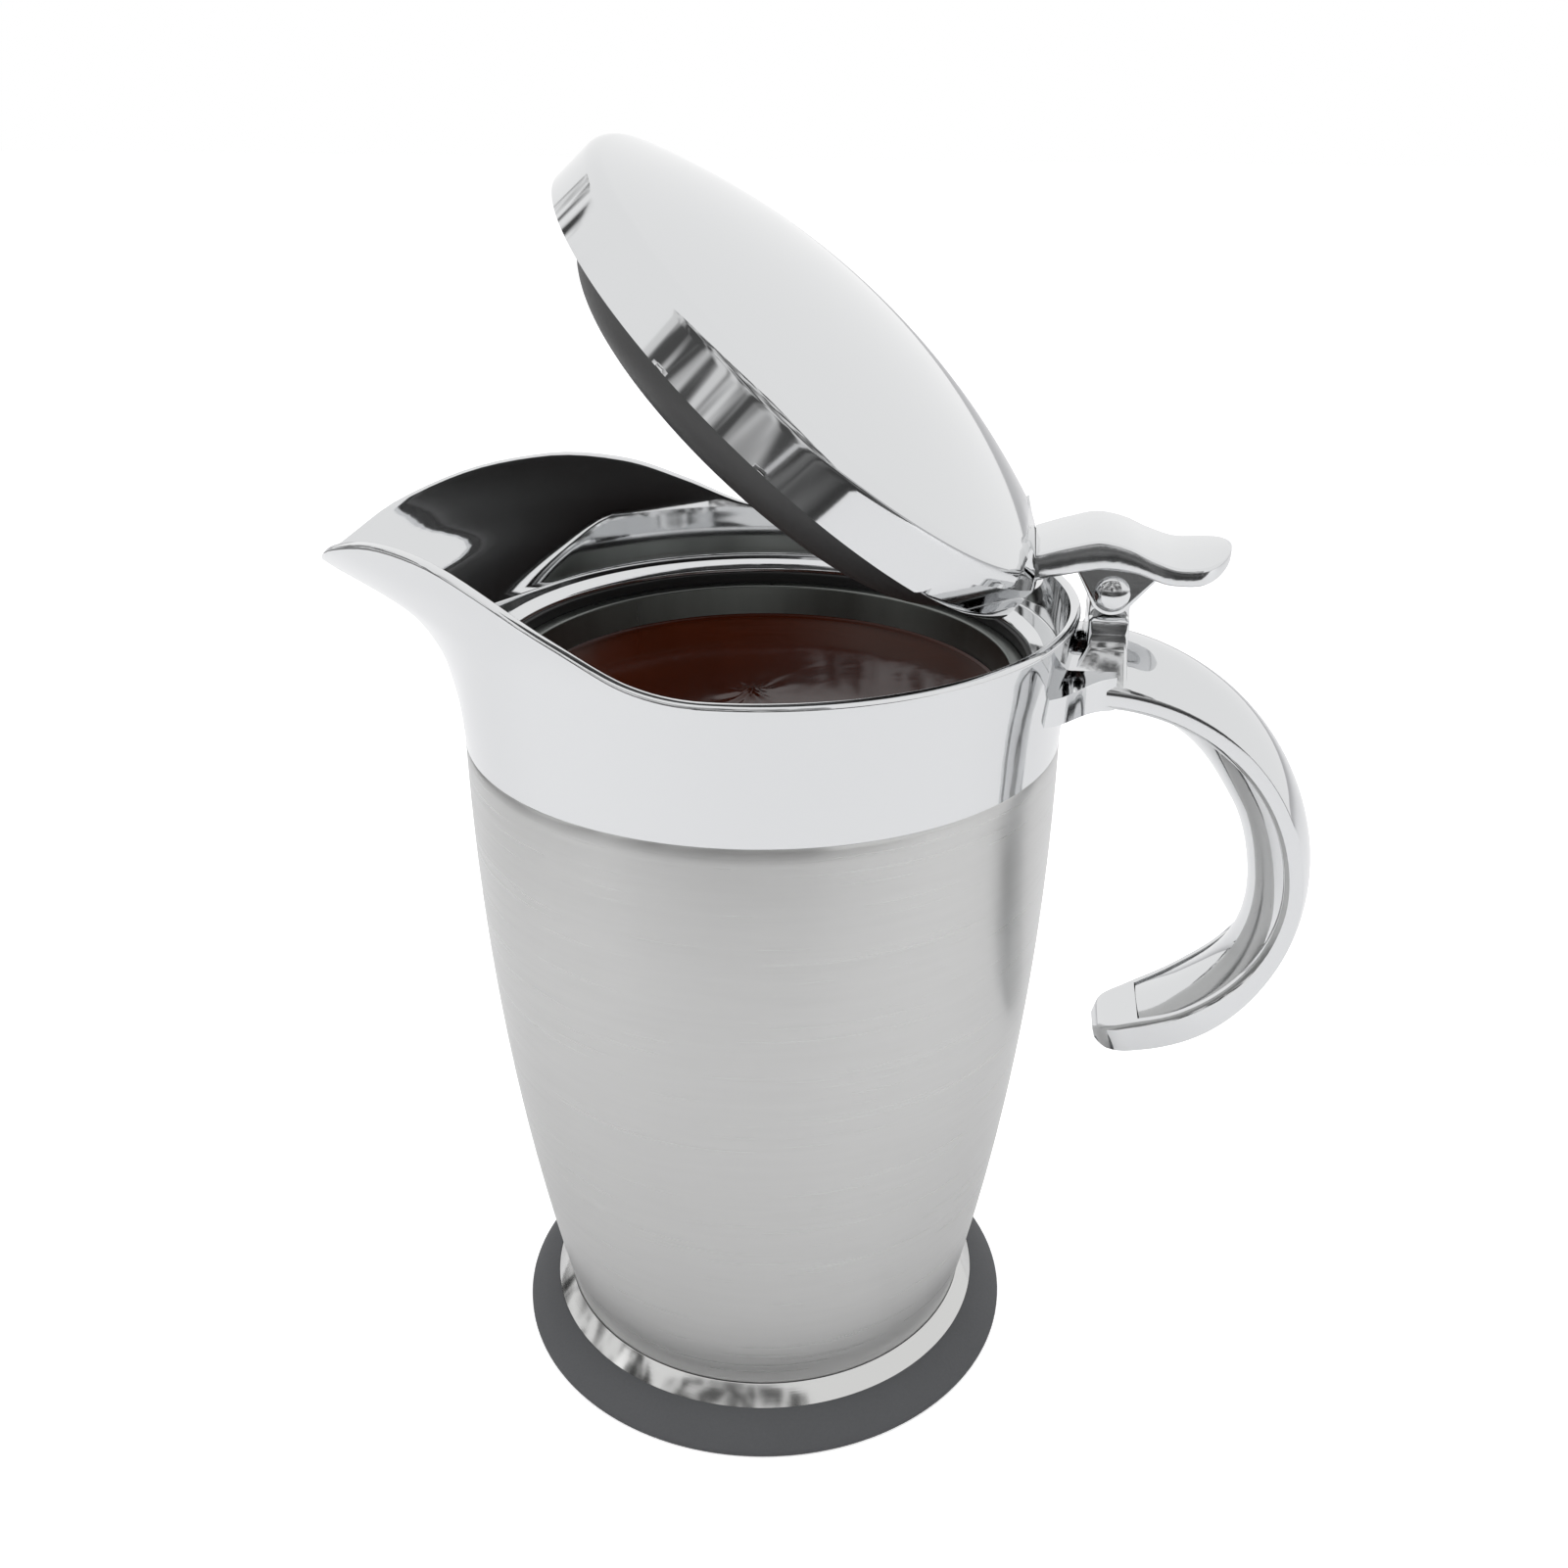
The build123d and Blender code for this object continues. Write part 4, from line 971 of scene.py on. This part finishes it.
def neck_mesh():
    """The short neck that carries on the lever's line to the dome, spreading at its root."""
    rings = []
    for k in range(15):
        t = k / 14
        wide = 9.6 + 5.5 * (1 - t) ** 3
        top_x = REAR_X - 1.5 + t * (JOINT_TOP[0] - 0.05 - REAR_X + 1.5)
        low_x = REAR_X - 1.5 + t * (JOINT_LOW[0] - 0.05 - REAR_X + 1.5)
        top_z, low_z = slope_height(top_x) - 0.02, JOINT_LOW[1] + 0.0
        ring = []
        corner = 0.6
        for sy, sz, turn in ((1, 1, 0), (-1, 1, 1), (-1, 0, 2), (1, 0, 3)):
            for i in range(5):
                a = (turn + i / 4) * pi / 2
                y = sy * (wide - corner) + corner * cos(a)
                z = (top_z - corner if sz else low_z + corner) + corner * sin(a)
                blend = (z - low_z) / (top_z - low_z)
                ring.append((low_x + blend * (top_x - low_x), y, z))
        rings.append(ring)
    return loft(rings)


def insert_mesh():
    low, top = LID_LOW_Z + 0.2, LID_LOW_Z + 0.2 + INSERT_FLANGE_T
    side = [(r, LID_LOW_Z - d) for r, d in INSERT_SIDE]
    inner = [(r - INSERT_T, LID_LOW_Z - d + INSERT_T) for r, d in INSERT_SIDE]
    outline = [(0, side[2][1])]
    curve = arc(side[2], side[1], side[0], 14)
    outline += curve
    outline += [(side[0][0], low), (INSERT_FLANGE_R, low), (INSERT_FLANGE_R, top)]
    flange = len(outline) - 1
    outline.append((inner[0][0], top))
    outline += arc(inner[0], inner[1], inner[2], 10)
    outline.append((0, inner[2][1]))
    bm = spin_up(outline, closed=False)
    soften(bm, "ring", 2, 1.2, 5)
    soften(bm, "ring", flange, 0.4, 3)
    soften(bm, "ring", flange + 1, 0.4, 3)
    bmesh.ops.translate(bm, verts=bm.verts, vec=(LID_X, 0, 0))
    return opened(bm)


# ---- operators ------------------------------------------------------------------------------

class MakeVessel(bpy.types.Operator):
    """Makes the base, the foot ring, the brushed body, the liner and its gasket"""
    bl_idname = "jug.vessel"
    bl_label = "Vessel"

    def execute(self, context):
        piece("rubber_base", base_mesh(), "jug", "rubber", "base_rubber", "non_slip_base")
        piece("foot_ring", foot_ring_mesh(), "jug", "polished", "polished_steel", "foot_band")
        piece("brushed_body", body_mesh(), "jug", "brushed", "brushed_steel", "outer_wall")
        piece("steel_liner", liner_mesh(), "jug", "satin", "liner_steel", "inner_liner")
        piece("lip_gasket", lip_gasket_mesh(), "jug", "gasket", "gasket_rubber", "liner_gasket")
        return {"FINISHED"}


class MakeSyrup(bpy.types.Operator):
    """Fills the liner with syrup"""
    bl_idname = "jug.syrup"
    bl_label = "Syrup"

    def execute(self, context):
        level = context.scene.jug_sizes.syrup_level * 1000
        piece("syrup", syrup_mesh(level), "jug", "syrup", None, crease=60)
        return {"FINISHED"}


class MakeCollar(bpy.types.Operator):
    """Makes the chromed collar with its spout and wave-shaped rim"""
    bl_idname = "jug.collar"
    bl_label = "Spout collar"

    def execute(self, context):
        rim_round = context.scene.jug_sizes.rim_round * 1000
        piece("collar", collar_mesh(rim_round), "jug", "chrome", "chromed_plastic",
              "spout_collar")
        return {"FINISHED"}


class MakeHandle(bpy.types.Operator):
    """Makes the C-handle and the swelling pad inside it"""
    bl_idname = "jug.handle"
    bl_label = "Handle"

    def execute(self, context):
        edge = context.scene.jug_sizes.handle_round * 1000
        piece("handle", handle_mesh(edge), "jug", "chrome", "chromed_plastic", "handle_shell")
        piece("handle_pad", pad_mesh(), "jug", "chrome", "chromed_plastic", "handle_cover")
        return {"FINISHED"}


class MakeHinge(bpy.types.Operator):
    """Makes the hinge post, the cross pin and the pin's cap"""
    bl_idname = "jug.hinge"
    bl_label = "Hinge"

    def execute(self, context):
        piece("post", post_mesh(), "jug", "cast", "chromed_zinc", "hinge_post")
        piece("cross_pin", pin_mesh(), "lid", "cast", "pin_steel", "hinge_pin")
        piece("cross_pin_cap", cap_mesh(), "lid", "cast", "pin_steel", "pin_cap")
        return {"FINISHED"}


class MakeLid(bpy.types.Operator):
    """Makes the lid, its dark insert and the thumb lever"""
    bl_idname = "jug.lid"
    bl_label = "Lid and lever"

    def execute(self, context):
        sizes = context.scene.jug_sizes
        piece("lid", lid_mesh(sizes.lid_round * 1000), "lid", "chrome", "chromed_plastic",
              "lid_shell")
        piece("lid_bowl", insert_mesh(), "lid", "insert", "insert_plastic", "lid_insert")
        piece("lever", lever_mesh(sizes.lever_round * 1000), "lid", "cast", "chromed_zinc",
              "thumb_lever")
        return {"FINISHED"}


class FinishSmallParts(bpy.types.Operator):
    """Gives the screws, washers, gasket, bottom and foam their materials"""
    bl_idname = "jug.small_parts"
    bl_label = "Small parts"

    def execute(self, context):
        for node, key in (("outer_bottom", "satin"), ("seam_gasket", "gasket"),
                          ("handle_screws", "polished"), ("hinge_washers", "nylon"),
                          ("lever_screws", "polished"), ("lid_insulation", "foam")):
            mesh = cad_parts[node].data
            mesh.materials.clear()
            mesh.materials.append(material_of(key))
        return {"FINISHED"}


# ---- stage ----------------------------------------------------------------------------------

def plane(name, size, matrix):
    bm = bmesh.new()
    bmesh.ops.create_grid(bm, x_segments=1, y_segments=1, size=0.5)
    bmesh.ops.scale(bm, vec=(size[0], size[1], 1), verts=bm.verts)
    bmesh.ops.transform(bm, matrix=matrix, verts=bm.verts)
    mesh = bpy.data.meshes.new(name)
    bm.to_mesh(mesh)
    bm.free()
    obj = bpy.data.objects.new(name, mesh)
    bpy.context.scene.collection.objects.link(obj)
    return obj


def facing(place, target=(0, 0, 0.1)):
    """Stands at a place with its face, +Z of a plane or -Z of a lamp, towards the target."""
    way = Vector(target) - Vector(place)
    return Matrix.Translation(place) @ way.to_track_quat("Z", "Y").to_matrix().to_4x4()


def softbox(name, place, size, watts, target=(0, 0, 0.1)):
    lamp = bpy.data.lights.new(name, "AREA")
    lamp.shape, lamp.size, lamp.size_y, lamp.energy = "RECTANGLE", size[0], size[1], watts
    obj = bpy.data.objects.new(name, lamp)
    bpy.context.scene.collection.objects.link(obj)
    way = Vector(target) - Vector(place)
    obj.matrix_world = (Matrix.Translation(place)
                        @ way.to_track_quat("-Z", "Y").to_matrix().to_4x4())
    obj.visible_glossy = False
    return obj


# The studio that the metal mirrors: name, place, size, darkest and brightest tone, and what it
# faces. All of it is out of the camera's sight and lights nothing.
CARDS = (
    ("table_front", (0.0, -0.86, 0.001), (2.4, 0.86), 0.05, 0.18, (0.0, -0.86, 1.0)),
    ("table_left", (-0.86, 0.05, 0.001), (0.8, 0.9), 0.08, 0.3, (-0.86, 0.05, 1.0)),
    ("wall_front", (-0.3, -1.5, 0.75), (2.4, 1.5), 0.08, 0.8, (-0.3, 0.0, 0.75)),
    ("wall_left", (-1.5, 0.1, 0.6), (2.8, 1.2), 0.05, 1.0, (0.0, 0.1, 0.6)),
    ("window_1", (-0.62, -1.40, 0.42), (0.10, 0.16), 1.3, 1.3, (0.0, 0.0, 0.2)),
    ("window_2", (-1.05, -1.15, 0.36), (0.08, 0.12), 1.3, 1.3, (0.0, 0.0, 0.2)),
    ("window_3", (-1.30, -0.55, 0.62), (0.12, 0.30), 1.3, 1.3, (0.0, 0.0, 0.2)),
    ("window_4", (-1.35, -0.80, 0.30), (0.10, 0.12), 1.2, 1.2, (0.0, 0.0, 0.2)),
    ("window_5", (-0.85, -1.30, 0.62), (0.22, 0.10), 1.3, 1.3, (0.0, 0.0, 0.2)),
)


def card(name, place, size, low, high, target):
    """A card that only mirrors show, with cloudy patches between its two tones."""
    obj = plane(name, size, facing(place, target))
    material, tree = blank(name + "_paper")
    cloud = add(tree, "TexNoise", {"Vector": stretched(tree, (3.2, 3.2, 3.2)), "Scale": 1.0,
                                   "Detail": 2.0, "Distortion": 0.8})
    tone = add(tree, "MapRange", {"Value": cloud.outputs["Fac"], "From Min": 0.42,
                                  "From Max": 0.6, "To Min": low, "To Max": high})
    output(tree, add(tree, "Emission", {"Strength": tone.outputs[0]}))
    obj.data.materials.append(material)
    obj.visible_camera = False
    obj.visible_shadow = False
    obj.visible_diffuse = False
    obj.visible_transmission = False
    return obj


class MakeStage(bpy.types.Operator):
    """Makes the floor, the soft lamps, the cards and the camera"""
    bl_idname = "jug.stage"
    bl_label = "Stage"

    def execute(self, context):
        floor = plane("floor", (8, 8), Matrix.Translation((0, 0, -0.0002)))
        material, tree = blank("white_paper_floor")
        lit = add(tree, "BsdfDiffuse", {"Color": (0.86, 0.86, 0.86, 1)})
        glow = add(tree, "Emission", {"Color": (1, 1, 1, 1), "Strength": 0.52})
        both = add(tree, "AddShader", {0: lit.outputs[0], 1: glow.outputs[0]})
        seen = add(tree, "LightPath").outputs["Is Camera Ray"]
        output(tree, add(tree, "MixShader", {0: seen, 1: lit.outputs[0], 2: both.outputs[0]}))
        floor.data.materials.append(material)

        world = bpy.data.worlds.new("studio")
        context.scene.world = world
        world.use_nodes = True
        tree = world.node_tree
        tree.nodes.clear()
        path = add(tree, "LightPath")
        seen = add(tree, "Math", {0: path.outputs["Is Camera Ray"],
                                  1: path.outputs["Is Glossy Ray"]}, operation="MAXIMUM")
        room = add(tree, "Background", {"Color": (0.62, 0.62, 0.63, 1), "Strength": 1.0})
        white = add(tree, "Background", {"Color": (1, 1, 1, 1), "Strength": 1.0})
        mixed = add(tree, "MixShader", {0: seen.outputs[0], 1: room.outputs[0],
                                        2: white.outputs[0]})
        add(tree, "OutputWorld", {"Surface": mixed.outputs[0]})

        softbox("softbox_left", (-0.9, -0.5, 0.7), (0.9, 0.9), 5.5)
        softbox("softbox_right", (1.0, -0.3, 0.6), (0.6, 0.9), 3.0)
        softbox("softbox_top", (0.1, 0.2, 1.3), (1.2, 1.2), 7.0)
        for values in CARDS:
            card(*values)

        camera = bpy.data.cameras.new("camera")
        camera.lens, camera.sensor_width = 1620 / 1601 * 36, 36
        camera.clip_start, camera.clip_end = 0.01, 20
        obj = bpy.data.objects.new("camera", camera)
        context.scene.collection.objects.link(obj)
        obj.matrix_world = camera_place()
        context.scene.camera = obj
        context.scene.view_settings.view_transform = "Standard"
        return {"FINISHED"}


def camera_place():
    """Where the photograph was taken from: distance, height and angles in the jug's frame."""
    distance, height = 0.27118, 0.24271
    pitch, yaw, roll, turned = 0.43116, 0.01427, 0.00223, radians(9.0)
    ahead = Vector((sin(yaw) * cos(pitch), cos(yaw) * cos(pitch), -sin(pitch)))
    right = Vector((cos(yaw), -sin(yaw), 0))
    up = right.cross(ahead)
    right_2 = right * cos(roll) + up * sin(roll)
    up_2 = up * cos(roll) - right * sin(roll)
    matrix = Matrix((right_2, up_2, -ahead)).transposed().to_4x4()
    matrix.translation = (0, -distance, height)
    return Matrix.Rotation(turned, 4, "Z") @ matrix


class JugPanel(bpy.types.Panel):
    """The jug's values and what makes each part of it"""
    bl_label = "Syrup jug"
    bl_idname = "VIEW3D_PT_syrup_jug"
    bl_space_type = "VIEW_3D"
    bl_region_type = "UI"
    bl_category = "Jug"

    def draw(self, context):
        for group in (context.scene.jug_sizes, context.scene.jug_colours):
            for name in group.__annotations__:
                self.layout.prop(group, name)
        for operator in operators:
            self.layout.operator(operator.bl_idname)


operators = (MakeVessel, MakeSyrup, MakeCollar, MakeHandle, MakeHinge, MakeLid,
             FinishSmallParts, MakeStage)
classes = (JugSizes, JugColours) + operators + (JugPanel,)


def register():
    for cls in classes:
        bpy.utils.register_class(cls)
    bpy.types.Scene.jug_sizes = bpy.props.PointerProperty(type=JugSizes)
    bpy.types.Scene.jug_colours = bpy.props.PointerProperty(type=JugColours)


def unregister():
    del bpy.types.Scene.jug_sizes
    del bpy.types.Scene.jug_colours
    for cls in reversed(classes):
        bpy.utils.unregister_class(cls)


def main():
    register()
    for operator in operators:
        family, name = operator.bl_idname.split(".")
        getattr(getattr(bpy.ops, family), name)()


if __name__ == "__main__":
    main()
